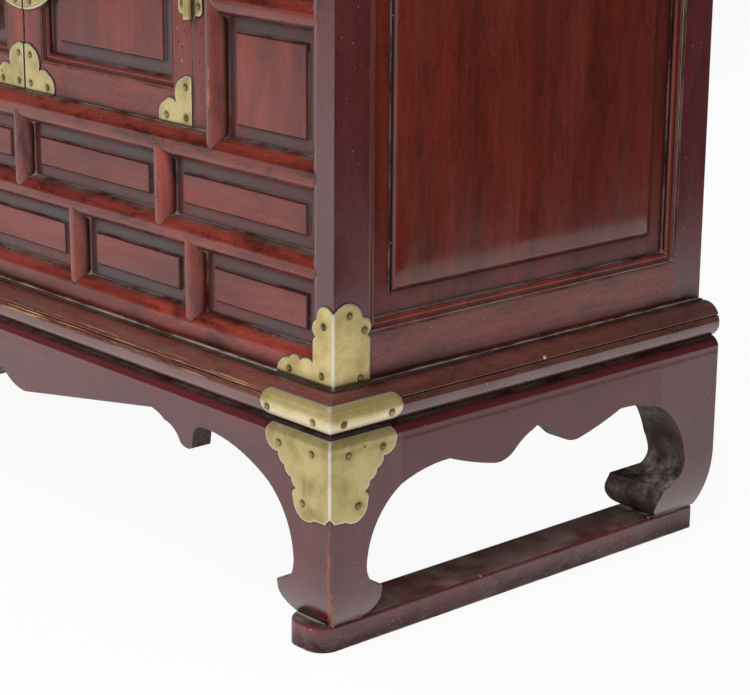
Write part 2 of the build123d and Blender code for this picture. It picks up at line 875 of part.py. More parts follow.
# Bails on two posts, about an axis in front of the plate that carries them
def bail(x, y, z, span, drop):
    """A bent rod whose two ends turn in the posts."""
    half = span / 2
    outer = half + bail_arm
    lower = outer - bail_arm / 2
    corners = [
        (x - half + post_radius, y, z),
        (x - outer, y, z),
        (x - lower, y, z - drop),
        (x + lower, y, z - drop),
        (x + outer, y, z),
        (x + half - post_radius, y, z),
    ]
    route = FilletPolyline(*corners, radius=bail_corner)
    start = Plane(origin=corners[0], z_dir=(-1, 0, 0))
    return sweep(start * Circle(bail_rod), path=route)


def bail_posts(x, plate_y, z, span):
    """Two round posts bored across for the bail."""
    axis_y = plate_y - bail_stand_off
    tip_y = axis_y - post_radius
    posts = []
    for side in (-1, 1):
        middle = (plate_y + tip_y) / 2
        post = Pos(x + side * span / 2, middle, z) * Rot(90, 0, 0) * Cylinder(post_radius, plate_y - tip_y)
        bore = Pos(x + side * span / 2, axis_y, z) * Rot(0, 90, 0)
        posts.append(post - bore * Cylinder(bail_rod + running_gap, 2 * post_radius + overrun))
    return posts


# Doors: the right-hand door, mirrored for the left
door_plate_shares = [
    (0, 0),
    (0.94, 0),
    ((0.95, 0.27), (0.79, 0.43)),
    ((0.6, 0.52), (0.43, 0.42)),
    ((0.46, 0.76), (0.25, 0.97)),
    ((0.1, 1.03), (0, 1.0)),
]
door_plate_nail_shares = [(0.17, 0.79), (0.17, 0.17), (0.74, 0.15)]
lock_nail_share = 0.9
hinge_nail_shares = (-0.32, 0, 0.32)
leaf_nail_share = 0.68


def leaf_plate(length, high, side, x, y, z):
    """One hinge leaf lying on the frame, its outer corners rounded, with z at its middle."""
    inner = knuckle_radius + knuckle_gap
    low = z - high / 2
    top = z + high / 2
    far = x + side * length
    near = x + side * inner
    bow = leaf_corner * (1 - quarter_share)
    path = [
        (near, low),
        (far - side * leaf_corner, low),
        ((far - side * bow, low + bow), (far, low + leaf_corner)),
        (far, top - leaf_corner),
        ((far - side * bow, top - bow), (far - side * leaf_corner, top)),
        (near, top),
    ]
    return front_prism(path, y - plate_thickness, y)


def hinge(x, axis_y, face_y, z):
    """One hinge: the jamb leaf with two knuckles, the door leaf with the middle one, and the pin."""
    tall = hinge_height + 2 * hinge_tail
    middle = hinge_height * knuckle_share
    bore = Pos(x, axis_y, z) * Cylinder(pin_radius + running_gap, tall + overrun)

    def knuckle(low, high):
        return Pos(x, axis_y, (low + high) / 2) * Cylinder(knuckle_radius, high - low)

    def tab(side, low, high):
        near, far = sorted((x, x + side * (knuckle_radius + overrun)))
        return block(near, far, face_y - plate_thickness, face_y, low, high)

    jamb = leaf_plate(jamb_leaf_width, hinge_height, 1, x, face_y, z)
    door = leaf_plate(door_leaf_width, hinge_height, -1, x, face_y, z)
    door = door + knuckle(z - middle / 2, z + middle / 2) + tab(-1, z - middle / 2, z + middle / 2)
    for sign in (-1, 1):
        ends = sorted((z + sign * (middle / 2 + knuckle_gap), z + sign * tall / 2))
        near = sorted((z + sign * (middle / 2 + knuckle_gap), z + sign * hinge_height / 2))
        jamb = jamb + knuckle(*ends) + tab(1, *near)
    pin = Pos(x, axis_y, z) * Cylinder(pin_radius, tall)
    return jamb - bore, door - bore, pin


def doors():
    """Both doors, the hinge leaves on the jambs and the hinge pins."""
    x0 = meeting_gap / 2
    x1 = door_opening_half - door_gap
    z0 = door_opening_low + door_clear
    z1 = head_rail_low - door_clear
    face = panel_face
    rear = face + door_thickness
    open_x0 = x0 + door_stile
    open_x1 = x1 - door_stile
    open_z0 = z0 + door_rail
    open_z1 = z1 - door_rail
    wide = open_x1 - open_x0
    tall = open_z1 - open_z0
    middle_x = (open_x0 + open_x1) / 2
    margin_face = face + door_recess
    spot = Pos(middle_x, margin_face, open_z0)
    room = spot * tongue_room(wide, tall, panel_board, panel_tongue)
    frame = [
        block(x0, open_x0, face, rear, z0, z1),
        block(open_x1, x1, face, rear, z0, z1),
        block(open_x0, open_x1, face, rear, z0, open_z0),
        block(open_x0, open_x1, face, rear, open_z1, z1),
    ]
    frame = [grooved(part, [room]) for part in frame]

    lock_z = z0 + lock_height
    disc = Pos(0, (face + margin_face) / 2, lock_z) * Rot(90, 0, 0) * Cylinder(lock_block_radius, door_recess)
    lock_block = disc & block(open_x0, open_x1, face, margin_face, open_z0, open_z1)
    panel = spot * raised_board(
        wide, tall, door_margin + door_bead_width, door_field_rise, panel_board, panel_tongue, field_chamfer
    )
    panel = panel - lock_block
    strips = bead_frame(wide, tall, bead_path(door_bead_width, door_bead_set, door_recess), door_bead_width)
    strips = [Pos(middle_x, face, open_z0) * strip - lock_block for strip in strips]

    plate_face = face - plate_thickness
    nails = []
    plates = []
    corner = scaled(door_plate_shares, door_plate_width, door_plate_height)
    places = scaled(door_plate_nail_shares, door_plate_width, door_plate_height)
    for edge_x, inward in ((x0, 1), (x1, -1)):
        for edge_z, upward in ((z0, 1), (z1, -1)):

            def seat(d, h):
                return (edge_x + inward * d, edge_z + upward * h)

            plates.append(front_prism(moved(corner, seat), plate_face, face))
            for d, h in places:
                x, z = seat(d, h)
                nails.append(nail(x, plate_face, z, 0))

    round_plate = Pos(0, (face + plate_face) / 2, lock_z) * Rot(90, 0, 0)
    lock_plate = round_plate * Cylinder(lock_plate_radius, plate_thickness)
    lock_plate = lock_plate & block(
        x0, x0 + lock_plate_radius, plate_face, face, lock_z - lock_plate_radius, lock_z + lock_plate_radius
    )
    ring = lock_nail_share * lock_plate_radius
    for angle in (-80, -40, 0, 40, 80):
        nails.append(nail(ring * cos(radians(angle)), plate_face, lock_z + ring * sin(radians(angle)), 0))
    pull_z = lock_z + door_pull_drop
    posts = bail_posts(door_pull_place, plate_face, pull_z, door_bail_span)
    pull = bail(door_pull_place, plate_face - bail_stand_off, pull_z, door_bail_span, door_bail_drop)

    hinge_x = door_opening_half - door_gap / 2
    axis_y = face - knuckle_radius - knuckle_proud
    jamb_leaves = []
    door_leaves = []
    pins = []
    jamb_nails = []
    for hinge_z in (z0 + lower_hinge_place, z1 - upper_hinge_drop):
        jamb_leaf, door_leaf, pin = hinge(hinge_x, axis_y, face, hinge_z)
        jamb_leaves += both_sides(jamb_leaf)
        door_leaves.append(door_leaf)
        pins += both_sides(pin)
        for share in hinge_nail_shares:
            level = hinge_z + share * hinge_height
            jamb_nails += both_sides(nail(hinge_x + leaf_nail_share * jamb_leaf_width, plate_face, level, 0))
            nails.append(nail(hinge_x - leaf_nail_share * door_leaf_width, plate_face, level, 0))

    right = {
        "frame": frame + strips + [lock_block],
        "panel": [panel],
        "corner_plates": plates,
        "lock_plate": [lock_plate] + posts,
        "hinge_leaves": door_leaves,
        "nails": nails,
        "pull": [pull],
    }
    nodes = {"jamb_hinge_leaves": jamb_leaves, "hinge_pins": pins, "carcass_nails": jamb_nails}
    for name, parts in right.items():
        nodes["door_right_" + name] = parts
        nodes["door_left_" + name] = [mirror(part, about=Plane.YZ) for part in parts]
    return nodes


# Drawers in a row under the top
drawer_nail_share = 0.88


def drawers():
    """Three drawers with their guides on the shelf."""
    nodes = {}
    bay = (post_inner + bar_base / 2) / 3
    opening = 2 * bay - bar_base
    wide = opening - 2 * drawer_gap
    tall = drawer_row_height - 2 * drawer_gap
    box_wide = wide - 2 * drawer_inset
    box_front = panel_face + drawer_front_thickness
    box_back = panel_face + drawer_length
    box_low = drawer_row_low + drawer_float
    box_high = drawer_row_low + drawer_gap + tall - drawer_side_drop
    inner = box_wide / 2 - drawer_side
    tail = box_back - drawer_side
    for name, middle in (("left", -2 * bay), ("centre", 0), ("right", 2 * bay)):
        board = raised_board(wide, tall, panel_margin, field_rise, drawer_front_thickness, 0, field_chamfer)
        face = Pos(middle, panel_face, drawer_row_low + drawer_gap) * board
        left = middle - box_wide / 2
        right = middle + box_wide / 2
        box = [
            block(left, left + drawer_side, box_front, box_back, box_low, box_high),
            block(right - drawer_side, right, box_front, box_back, box_low, box_high),
            block(middle - inner, middle + inner, tail, box_back, box_low, box_high),
            block(middle - inner, middle + inner, box_front, tail, box_low, box_low + drawer_bottom),
        ]
        pull_z = drawer_row_low + drawer_row_height / 2
        plate_back = panel_face - field_rise
        plate_face = plate_back - plate_thickness
        half_long = drawer_plate_length / 2
        half_tall = drawer_plate_height / 2
        nose = half_long - half_tall
        plate = front_prism(
            moved(
                [
                    (-nose, -half_tall),
                    (nose, -half_tall),
                    ((half_long, 0), (nose, half_tall)),
                    (-nose, half_tall),
                    ((-half_long, 0), (-nose, -half_tall)),
                ],
                lambda u, v: (middle + u, pull_z + v),
            ),
            plate_face,
            plate_back,
        )
        pull_level = pull_z + half_tall / 3
        posts = bail_posts(middle, plate_face, pull_level, drawer_bail_span)
        end_place = drawer_nail_share * half_long
        end_nails = [nail(middle + side * end_place, plate_face, pull_z, 0) for side in (-1, 1)]
        handle = bail(middle, plate_face - bail_stand_off, pull_level, drawer_bail_span, drawer_bail_drop)
        nodes["drawer_" + name + "_front"] = [face]
        nodes["drawer_" + name + "_box"] = box
        nodes["drawer_" + name + "_pull_plate"] = [plate] + posts + end_nails
        nodes["drawer_" + name + "_bail"] = [handle]
    guide_half = bay - box_wide / 2 - guide_gap
    guide_front = box_front + drawer_gap
    guide_high = drawer_row_low + guide_height
    guides = both_sides(
        block(bay - guide_half, bay + guide_half, guide_front, box_back, drawer_row_low, guide_high)
    )
    end_low = 2 * bay + box_wide / 2 + guide_gap
    end_front = front + post_side
    end_back = back - back_post_side
    guides += both_sides(block(end_low, panel_back_side, end_front, end_back, drawer_row_low, guide_high))
    nodes["drawer_shelf"] = guides
    return nodes


def make_nodes():
    """Every named node of the chest, as a list of solids."""
    nodes = front_frame()
    nodes |= carcass(nodes["front_posts"])
    nodes |= base_moulding()
    nodes |= legs()
    nodes |= aprons()
    nodes |= floor_runners()
    for group in (carcass_brass(), doors(), drawers()):
        for name, parts in group.items():
            nodes[name] = nodes.get(name, []) + parts
    return nodes


os.makedirs("parts", exist_ok=True)
for node, parts in make_nodes().items():
    solids = [solid for part in parts for solid in part.solids()]
    shape = solids[0] if len(solids) == 1 else Compound(solids)
    export_step(shape, f"parts/{node}.step")
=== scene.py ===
"""Looks of a lacquered chest on a scrolled stand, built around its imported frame."""

import math
from functools import cached_property

import bmesh
import bpy
from bpy.props import FloatProperty, FloatVectorProperty, IntProperty, PointerProperty
from mathutils import Matrix, Vector


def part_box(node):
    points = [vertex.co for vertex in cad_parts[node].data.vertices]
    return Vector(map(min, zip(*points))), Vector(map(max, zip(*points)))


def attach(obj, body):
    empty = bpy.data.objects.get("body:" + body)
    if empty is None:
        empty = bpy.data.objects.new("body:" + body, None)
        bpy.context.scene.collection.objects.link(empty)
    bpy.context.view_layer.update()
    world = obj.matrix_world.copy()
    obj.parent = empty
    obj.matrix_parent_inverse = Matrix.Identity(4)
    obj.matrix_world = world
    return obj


bl_info = {
    "name": "Chest on a scrolled stand",
    "version": (1, 0, 0),
    "blender": (4, 5, 0),
    "location": "View3D > Sidebar > Chest",
    "description": "Lacquer, brass and plain wood for a chest with doors and drawers, and its studio",
    "category": "Object",
}

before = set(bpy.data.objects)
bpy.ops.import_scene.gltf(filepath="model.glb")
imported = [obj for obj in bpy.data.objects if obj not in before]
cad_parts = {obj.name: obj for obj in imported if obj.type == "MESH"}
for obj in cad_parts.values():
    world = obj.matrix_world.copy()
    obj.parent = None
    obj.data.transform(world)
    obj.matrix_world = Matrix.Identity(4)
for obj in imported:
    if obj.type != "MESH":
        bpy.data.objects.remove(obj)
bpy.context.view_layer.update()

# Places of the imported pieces
DOOR_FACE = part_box("door_right_frame")[0].y
DOOR_PANEL_LOW, DOOR_PANEL_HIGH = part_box("door_right_panel")
LOCK_LOW, LOCK_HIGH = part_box("door_right_lock_plate")
LOCK_MIDDLE = (LOCK_LOW.z + LOCK_HIGH.z) / 2
MOULDING_LOW, MOULDING_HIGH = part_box("base_moulding_front")
POST_LOW, POST_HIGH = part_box("front_posts")

# The quirk of the moulding, as a share of its height, and the stand's shoulder under the moulding
QUIRK_SHARE = 0.62
SHOULDER_DROP = 0.014
QUIRK = MOULDING_LOW.z + QUIRK_SHARE * (MOULDING_HIGH.z - MOULDING_LOW.z)
SHOULDER = MOULDING_LOW.z - SHOULDER_DROP

# Old nail holes round the right door's lower hinge: across and up from the floor, and radius, in metres
DOOR_HOLES = ((0.2442, 0.4916, 0.0016), (0.2354, 0.4808, 0.0017), (0.2414, 0.4769, 0.0011))
PLUGGED_HOLES = ((0.2404, 0.4654, 0.0016), (0.2346, 0.4922, 0.0012))
JAMB_HOLES = ((0.2658, 0.4914, 0.0017), (0.2644, 0.4667, 0.0017))

# Loops of a nail hole from its rim inward: share of its radius, and share of its height
HOLE_LOOPS = ((1.0, 0.2), (0.85, 1.0), (0.6, 0.8))

# Rubbed places on the jambs' faces, in the same way as the holes, and how ragged, soft and tall they are
JAMB_RUBS = ((0.2905, 0.4415, 0.0030), (0.2915, 0.4620, 0.0020))
RUB_RAGGED = 0.004
RUB_FADE = 0.002
RUB_TALL = 4.0

# Where marks in the lacquer start and end, in metres
FIELD_SLACK = 0.0002
MARGIN_BACK = (0.0006, 0.002)
RIM_OUTSIDE = (-0.003, -0.0012)
RIM_INSIDE = (-0.0006, 0.0001)
SCRATCH_REACH = (0.0015, 0.007)
SEAM_WIDTH = (0.0008, 0.002)
SEAM_DEPTH = (0.0006, 0.0002)
CRUST_TOP = (0.012, 0.004)

# Bands of the straps, measured from the quirk, in metres
STRAP_SILVER = (-0.010, -0.003)
STRAP_GOLD = (-0.003, 0.004)
STRAP_CLEAR = (0.003, 0.005)
STRAP_WAVE = 0.016
FOLD_START = 0.0002

# Rings cut in the lock plate, as shares of its radius, and the half width of a cut, in metres
LOCK_RINGS = (0.955, 0.8, 0.76)
LOCK_CUT = (0.0003, 0.0009)

# Tint of the lacquer's gloss, and how metallic the old brass is
GLOSS_TINT = (0.95, 0.96, 1.0, 1.0)
BRASS_METAL = 0.65

# The studio, in metres, and the camera's sensor in millimetres
FLOOR_DROP = 0.0003
LIGHT_AIM = (0.1, 0.0, 0.4)
SENSOR_WIDTH = 36.0
VIEW_REACH = 60.0


def colour(title, words, value):
    """A colour that a user can change."""
    return FloatVectorProperty(
        name=title, description=words, subtype="COLOR", size=3, min=0.0, max=1.0, default=value
    )


def length(title, words, value):
    """A length that a user can change."""
    return FloatProperty(name=title, description=words, unit="LENGTH", default=value)


def angle(title, words, degrees):
    """An angle that a user can change."""
    return FloatProperty(name=title, description=words, subtype="ANGLE", default=math.radians(degrees))


class ChestFinish(bpy.types.PropertyGroup):
    """Colours of the lacquer, the brass and the plain wood."""

    stand_dark: colour("Stand, dark", "Dark bands of the posts' and stand's lacquer", (0.080, 0.012, 0.014))
    stand_red: colour("Stand, red", "Red bands of the posts' and stand's lacquer", (0.152, 0.020, 0.022))
    bar_dark: colour("Bars, dark", "Dark bands of the bars' and doors' lacquer", (0.095, 0.012, 0.008))
    bar_red: colour("Bars, red", "Red bands of the bars' and doors' lacquer", (0.320, 0.045, 0.023))
    panel_dark: colour("Panels, dark", "Dark bands of the panels' lacquer", (0.100, 0.012, 0.007))
    panel_red: colour("Panels, red", "Red bands of the panels' lacquer", (0.285, 0.037, 0.018))
    moulding_dark: colour("Moulding, dark", "Dark bands of the moulding's lacquer", (0.082, 0.021, 0.016))
    moulding_red: colour("Moulding, red", "Red bands of the moulding's lacquer", (0.190, 0.045, 0.033))
    # Crust, and painted shade on the inner faces of the legs and aprons
    crust_and_shade: colour("Crust", "Old crust under the legs and aprons", (0.036, 0.024, 0.020))
    scuff: colour("Scuffs", "Brown scuffs on the moulding and the floor runners", (0.105, 0.068, 0.055))
    # Grey bloom, and painted shade of the recessed margins behind the fields
    bloom_and_shade: colour("Bloom", "Grey bloom behind the panels' fields", (0.064, 0.034, 0.033))
    # Near-black of the grooves: grime, and painted shade in them
    grime_and_shade: colour("Grime", "Dark dirt in the grooves", (0.010, 0.005, 0.004))
    wear: colour("Wear", "Bare wood along rubbed edges", (0.420, 0.150, 0.070))
    scratch: colour("Scratches", "Bare wood in the scratches of the moulding", (0.560, 0.310, 0.120))
    # The dust colour is also the colour of the painted highlights along the edges
    dust: colour("Dust", "Dust in the corners and specks on the faces", (0.520, 0.470, 0.420))
    brass_pale: colour("Brass, pale", "Clean brass sheet", (0.680, 0.555, 0.250))
    brass_dull: colour("Brass, dull", "Tarnished patches of the brass", (0.450, 0.345, 0.130))
    # Rubbed brass, and the painted highlights along the brass edges and folds
    brass_rubbed_and_highlight: colour("Brass, rubbed", "Brass rubbed bright along folds and rims", (0.930, 0.900, 0.790))
    # Dirt, and painted shade round the nails
    brass_dirt_and_shade: colour("Brass, dirt", "Dirt round the nails", (0.075, 0.045, 0.020))
    brass_gold: colour("Brass, gold", "Deep tarnish along the tops of the straps", (0.640, 0.450, 0.120))
    brass_silver: colour("Brass, silver", "Rubbed lower halves of the straps", (0.800, 0.710, 0.520))
    wood_dark: colour("Plain wood, dark", "Dark bands of the unpolished wood", (0.110, 0.055, 0.028))
    wood_pale: colour("Plain wood, pale", "Pale bands of the unpolished wood", (0.230, 0.130, 0.068))
    # Dark inside of the old nail holes: painted shade of their depth, and dirt
    hole: colour("Old nail holes", "Inside of the old nail holes", (0.012, 0.006, 0.004))


class ChestDetail(bpy.types.PropertyGroup):
    """Sizes of the small marks on the wood and the brass."""

    edge_round: length("Edge round", "Rounding of lacquered edges in the shading", 0.0013)
    brass_round: length("Brass edge round", "Rounding of brass edges in the shading", 0.003)
    # The groove width also sets how far the painted shade in the grooves reaches
    groove: length("Groove width", "How far grime reaches out of a groove", 0.004)
    # The corner width also sets how far the painted shade in the corners reaches
    corner: length("Corner width", "How far dirt reaches out of a corner", 0.024)
    # The nail ring sets how far the dirt and painted shade reach out from a nail
    nail_ring: length("Nail ring", "How far dirt reaches out from a nail", 0.0034)
    cushion: length("Cushion width", "How far the side panels' fields roll over at their edges", 0.024)
    cushion_fall: length("Cushion fall", "How deep the side panels' fields roll over", 0.0018)
    rim_roll: length("Rim roll", "How far the rims of the side panels' fields are rounded", 0.0045)
    rim_fall: length("Rim fall", "How deep the rims of the side panels' fields are rounded", 0.0012)
    # The fold width is the width of the painted highlight along the plates' folds
    fold_highlight_width: length("Fold width", "Width of the bright line along the plates' folds", 0.0026)
    shoulder_turn: length("Shoulder turn", "How far up the stand's shoulder its blend reaches", 0.003)
    foot_wear: length("Foot wear", "Height below which the legs' corners are worn most", 0.115)
    foot_round: length("Foot corner", "Width of the wear along the legs' corners", 0.0042)
    hole_proud: length("Hole rim", "How far an old nail hole's rim stands out", 0.00012)
    hole_points: IntProperty(
        name="Hole points", description="Points round the rim of an old nail hole", default=14
    )


class ChestStage(bpy.types.PropertyGroup):
    """The camera and the studio."""

    camera_place: FloatVectorProperty(
        name="Camera place",
        description="Where the camera stands",
        subtype="TRANSLATION",
        unit="LENGTH",
        size=3,
        default=(1.75571, -1.33951, 0.75714),
    )
    camera_turn: angle("Camera turn", "Turn from the front", 48.053)
    camera_dip: angle("Camera dip", "Dip below level", 16.021)
    camera_roll: angle("Camera roll", "Roll about the view", 0.416)
    lens: FloatProperty(name="Lens", description="Focal length in millimetres", default=107.85)
    floor_half: length("Floor half size", "Half of the floor's side", 9.0)
    floor_pale: colour("Floor", "Colour of the floor", (0.86, 0.86, 0.86))
    floor_white: FloatProperty(
        name="Floor white", description="Share of white over the floor", subtype="FACTOR", default=0.93
    )
    card_tone: colour("Cards", "Colour of the cards round the chest", (0.085, 0.075, 0.068))
    card_side: length("Side cards", "How far the side cards stand from the middle", 1.27)
    card_front: length("Front card", "How far the front card stands from the middle", 3.0)
    card_back: length("Back card", "How far the back card stands from the middle", 1.2)
    card_height: length("Card height", "How tall the cards are", 2.4)
    wall_low: angle("Wall fade start", "Where the room starts to dim", 6.0)
    wall_high: angle("Wall fade end", "Where the room is dim", 24.0)
    ceiling: FloatProperty(name="Ceiling", description="Strength of the dim part of the room", default=0.12)
    key_power: FloatProperty(name="Key light", description="Power of the key light", default=62.0)
    fill_power: FloatProperty(name="Fill light", description="Power of the fill light", default=12.0)
    top_power: FloatProperty(name="Top light", description="Power of the light above", default=62.0)


class Finish:
    """One material, with short calls for its nodes."""

    def __init__(self, name):
        self.material = bpy.data.materials.new(name)
        self.material.use_nodes = True
        self.tree = self.material.node_tree
        self.tree.nodes.clear()
        self.place = self.node("ShaderNodeTexCoord").outputs["Object"]
        self.across, self.depth, self.height = self.parts(self.place)
        self.shader = self.node("ShaderNodeBsdfPrincipled")
        out = self.node("ShaderNodeOutputMaterial")
        self.tree.links.new(self.shader.outputs["BSDF"], out.inputs["Surface"])

    @cached_property
    def facing(self):
        """Which way each point faces, along x, y and z."""
        return self.parts(self.node("ShaderNodeNewGeometry").outputs["Normal"])

    def node(self, kind, **settings):
        """A new node with its settings."""
        made = self.tree.nodes.new(kind)
        for key, value in settings.items():
            setattr(made, key, value)
        return made

    def put(self, socket, value):
        """Feed a socket from another one, or set it."""
        if isinstance(value, bpy.types.NodeSocket):
            self.tree.links.new(value, socket)
        elif socket.type == "RGBA":
            socket.default_value = (*value, 1.0)
        else:
            socket.default_value = value

    def math(self, operation, a, b=0.0, clamp=False):
        """One sum."""
        made = self.node("ShaderNodeMath", operation=operation, use_clamp=clamp)
        self.put(made.inputs[0], a)
        self.put(made.inputs[1], b)
        return made.outputs[0]

    def times(self, *values):
        """Several values multiplied."""
        result = values[0]
        for value in values[1:]:
            result = self.math("MULTIPLY", result, value)
        return result

    def most(self, *values):
        """The largest of several values."""
        result = values[0]
        for value in values[1:]:
            result = self.math("MAXIMUM", result, value)
        return result

    def away(self, a, b):
        """How far a point lies from a middle, from its two sides."""
        squares = (self.math("POWER", side, 2.0) for side in (a, b))
        return self.math("SQRT", self.math("ADD", *squares))

    def rest(self, value):
        """What a share leaves of one."""
        return self.math("SUBTRACT", 1.0, value, clamp=True)

    def mix(self, share, a, b):
        """Two colours mixed."""
        made = self.node("ShaderNodeMix", data_type="RGBA")
        self.put(made.inputs[0], share)
        self.put(made.inputs[6], a)
        self.put(made.inputs[7], b)
        return made.outputs[2]

    def cover(self, base, share, tone):
        """A colour covered in part by one of the chest's own colours."""
        return self.mix(share, base, tuple(getattr(bpy.context.scene.chest_finish, tone)))

    def span(self, value, low, high, start=0.0, end=1.0):
        """A value taken from one span to another, softly."""
        made = self.node("ShaderNodeMapRange", interpolation_type="SMOOTHSTEP")
        self.put(made.inputs["Value"], value)
        made.inputs["From Min"].default_value = low
        made.inputs["From Max"].default_value = high
        made.inputs["To Min"].default_value = start
        made.inputs["To Max"].default_value = end
        return made.outputs["Result"]

    def stretched(self, scale, shift=(0.0, 0.0, 0.0)):
        """The piece's own coordinates, scaled along each axis."""
        made = self.node("ShaderNodeMapping")
        self.put(made.inputs["Vector"], self.place)
        made.inputs["Location"].default_value = shift
        made.inputs["Scale"].default_value = scale
        return made.outputs["Vector"]

    def noise(self, vector, scale=1.0, detail=3.0, rough=0.55, twist=0.0):
        """Soft noise."""
        made = self.node("ShaderNodeTexNoise")
        self.put(made.inputs["Vector"], vector)
        made.inputs["Scale"].default_value = scale
        made.inputs["Detail"].default_value = detail
        made.inputs["Roughness"].default_value = rough
        made.inputs["Distortion"].default_value = twist
        return made.outputs["Fac"]

    def streaks(self, axis, run, across, shift=(0.0, 0.0, 0.0), detail=4.0, rough=0.6, twist=0.0):
        """Noise drawn out along the grain."""
        scale = tuple(run if letter == axis else across for letter in "XYZ")
        return self.noise(self.stretched(scale, shift), 1.0, detail, rough, twist)

    def parts(self, vector):
        """The x, y and z of a vector."""
        made = self.node("ShaderNodeSeparateXYZ")
        self.put(made.inputs[0], vector)
        return made.outputs

    def rounded(self, radius):
        """Normals that round the edges, and how much of an edge each point is."""
        bevel = self.node("ShaderNodeBevel", samples=6)
        bevel.inputs["Radius"].default_value = radius
        flat = self.node("ShaderNodeNewGeometry").outputs["Normal"]
        dot = self.node("ShaderNodeVectorMath", operation="DOT_PRODUCT")
        self.put(dot.inputs[0], bevel.outputs["Normal"])
        self.put(dot.inputs[1], flat)
        return bevel.outputs["Normal"], self.rest(dot.outputs["Value"])

    def hidden(self, distance):
        """How deep in a corner each point is."""
        made = self.node("ShaderNodeAmbientOcclusion", samples=8)
        made.inputs["Distance"].default_value = distance
        return self.rest(made.outputs["AO"])

    def specks(self, scale, share, size):
        """Sparse round specks."""
        made = self.node("ShaderNodeTexVoronoi")
        self.put(made.inputs["Vector"], self.place)
        made.inputs["Scale"].default_value = scale
        channels = self.node("ShaderNodeSeparateColor")
        self.put(channels.inputs[0], made.outputs["Color"])
        picked = self.math("GREATER_THAN", channels.outputs[0], 1.0 - share)
        reach = self.math("MULTIPLY", channels.outputs[1], size)
        return self.times(picked, self.math("LESS_THAN", made.outputs["Distance"], reach))

    def bump(self, height, strength, distance, normal):
        """Relief over given normals."""
        made = self.node("ShaderNodeBump")
        made.inputs["Strength"].default_value = strength
        made.inputs["Distance"].default_value = distance
        self.put(made.inputs["Height"], height)
        self.put(made.inputs["Normal"], normal)
        return made.outputs["Normal"]


def shaded(tone, share):
    """A colour made darker or brighter."""
    return tuple(share * value for value in tone)


def grain(finish, axis, dark, pale, depth):
    """Colour of straight-grained wood: broad figure, fine streaks and short pores."""
    figure = finish.streaks(axis, 2.2, 15.0, twist=0.7)
    streak = finish.streaks(axis, 14.0, 260.0, (3.0, 1.0, 2.0), 3.0, 0.6, 0.3)
    pore = finish.streaks(axis, 130.0, 1100.0, (1.0, 4.0, 7.0), 2.0, 0.5)
    base = finish.mix(finish.span(figure, 0.25, 0.75), dark, pale)
    base = finish.mix(finish.times(finish.span(streak, 0.38, 0.72), 0.7 * depth), base, dark)
    short = finish.times(finish.span(pore, 0.54, 0.7), depth)
    return finish.mix(short, base, shaded(dark, 0.35)), streak


def door_rails(finish):
    """Where a door's frame is a rail and not a stile."""
    across = finish.math("ABSOLUTE", finish.across)
    inner = finish.math("GREATER_THAN", across, DOOR_PANEL_LOW.x)
    return finish.times(inner, finish.math("LESS_THAN", across, DOOR_PANEL_HIGH.x))


def field_edges(finish, node):
    """How far each point is inside the raised field of the side panels, along and up."""
    points = [vertex.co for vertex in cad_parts[node].data.vertices]
    face = max(point.x for point in points)
    field = [point for point in points if face - point.x < FIELD_SLACK]
    inside = []
    for axis, place in ((1, finish.depth), (2, finish.height)):
        low = min(point[axis] for point in field)
        high = max(point[axis] for point in field)
        near = finish.math("SUBTRACT", place, low)
        inside.append(finish.math("MINIMUM", near, finish.math("SUBTRACT", high, place)))
    return inside


def cushion(finish, edges):
    """Height of a field that rolls over softly at its edges."""
    detail = bpy.context.scene.chest_detail
    falls = []
    for near in edges:
        broad = finish.math("POWER", finish.rest(finish.math("DIVIDE", near, detail.cushion)), 3.0)
        tight = finish.math("POWER", finish.rest(finish.math("DIVIDE", near, detail.rim_roll)), 2.0)
        broad = finish.math("MULTIPLY", broad, -detail.cushion_fall)
        falls.append(finish.math("ADD", broad, finish.math("MULTIPLY", tight, -detail.rim_fall)))
    inner = finish.math("GREATER_THAN", finish.math("MINIMUM", *edges), 0.0)
    return finish.times(finish.math("ADD", *falls), inner)


def panel_margin(finish, node):
    """Where a front panel lies behind its raised field."""
    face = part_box(node)[0].y
    return finish.span(finish.depth, *(face + back for back in MARGIN_BACK))


def moulding_scratches(finish):
    """Scratches that follow the quirk of the base moulding."""
    off = finish.math("ABSOLUTE", finish.math("SUBTRACT", finish.height, QUIRK))
    runs = finish.streaks("X", 14.0, 520.0, (2.0, 5.0, 3.0), 3.0, 0.6, 0.4)
    where = finish.streaks("X", 9.0, 3.0, detail=3.0)
    near = finish.span(off, *SCRATCH_REACH, 1.0, 0.0)
    return finish.times(near, finish.span(runs, 0.56, 0.64), finish.span(where, 0.42, 0.58))


def off_corner(finish):
    """How far each point lies from the upright line down the middle of a front corner."""
    level = finish.math("ADD", finish.math("ABSOLUTE", finish.across), finish.depth)
    return finish.math("ABSOLUTE", finish.math("SUBTRACT", level, POST_HIGH.x + POST_LOW.y))


def foot_wear(finish):
    """Scuffs along the outer corners of the front legs, most near the floor."""
    detail = bpy.context.scene.chest_detail
    low, high = 0.5 * detail.foot_wear, 1.25 * detail.foot_wear
    width = finish.span(finish.height, low, high, detail.foot_round, 0.25 * detail.foot_round)
    scuffs = finish.times(finish.streaks("Z", 60.0, 260.0, detail=5.0, rough=0.75), 8.0)
    ragged = finish.math("ADD", finish.math("DIVIDE", off_corner(finish), width), scuffs)
    broken = finish.span(finish.noise(finish.place, 170.0, 4.0, 0.7), 0.44, 0.56, 0.25, 1.0)
    return finish.times(finish.span(ragged, 4.0, 5.0, 1.0, 0.0), broken)


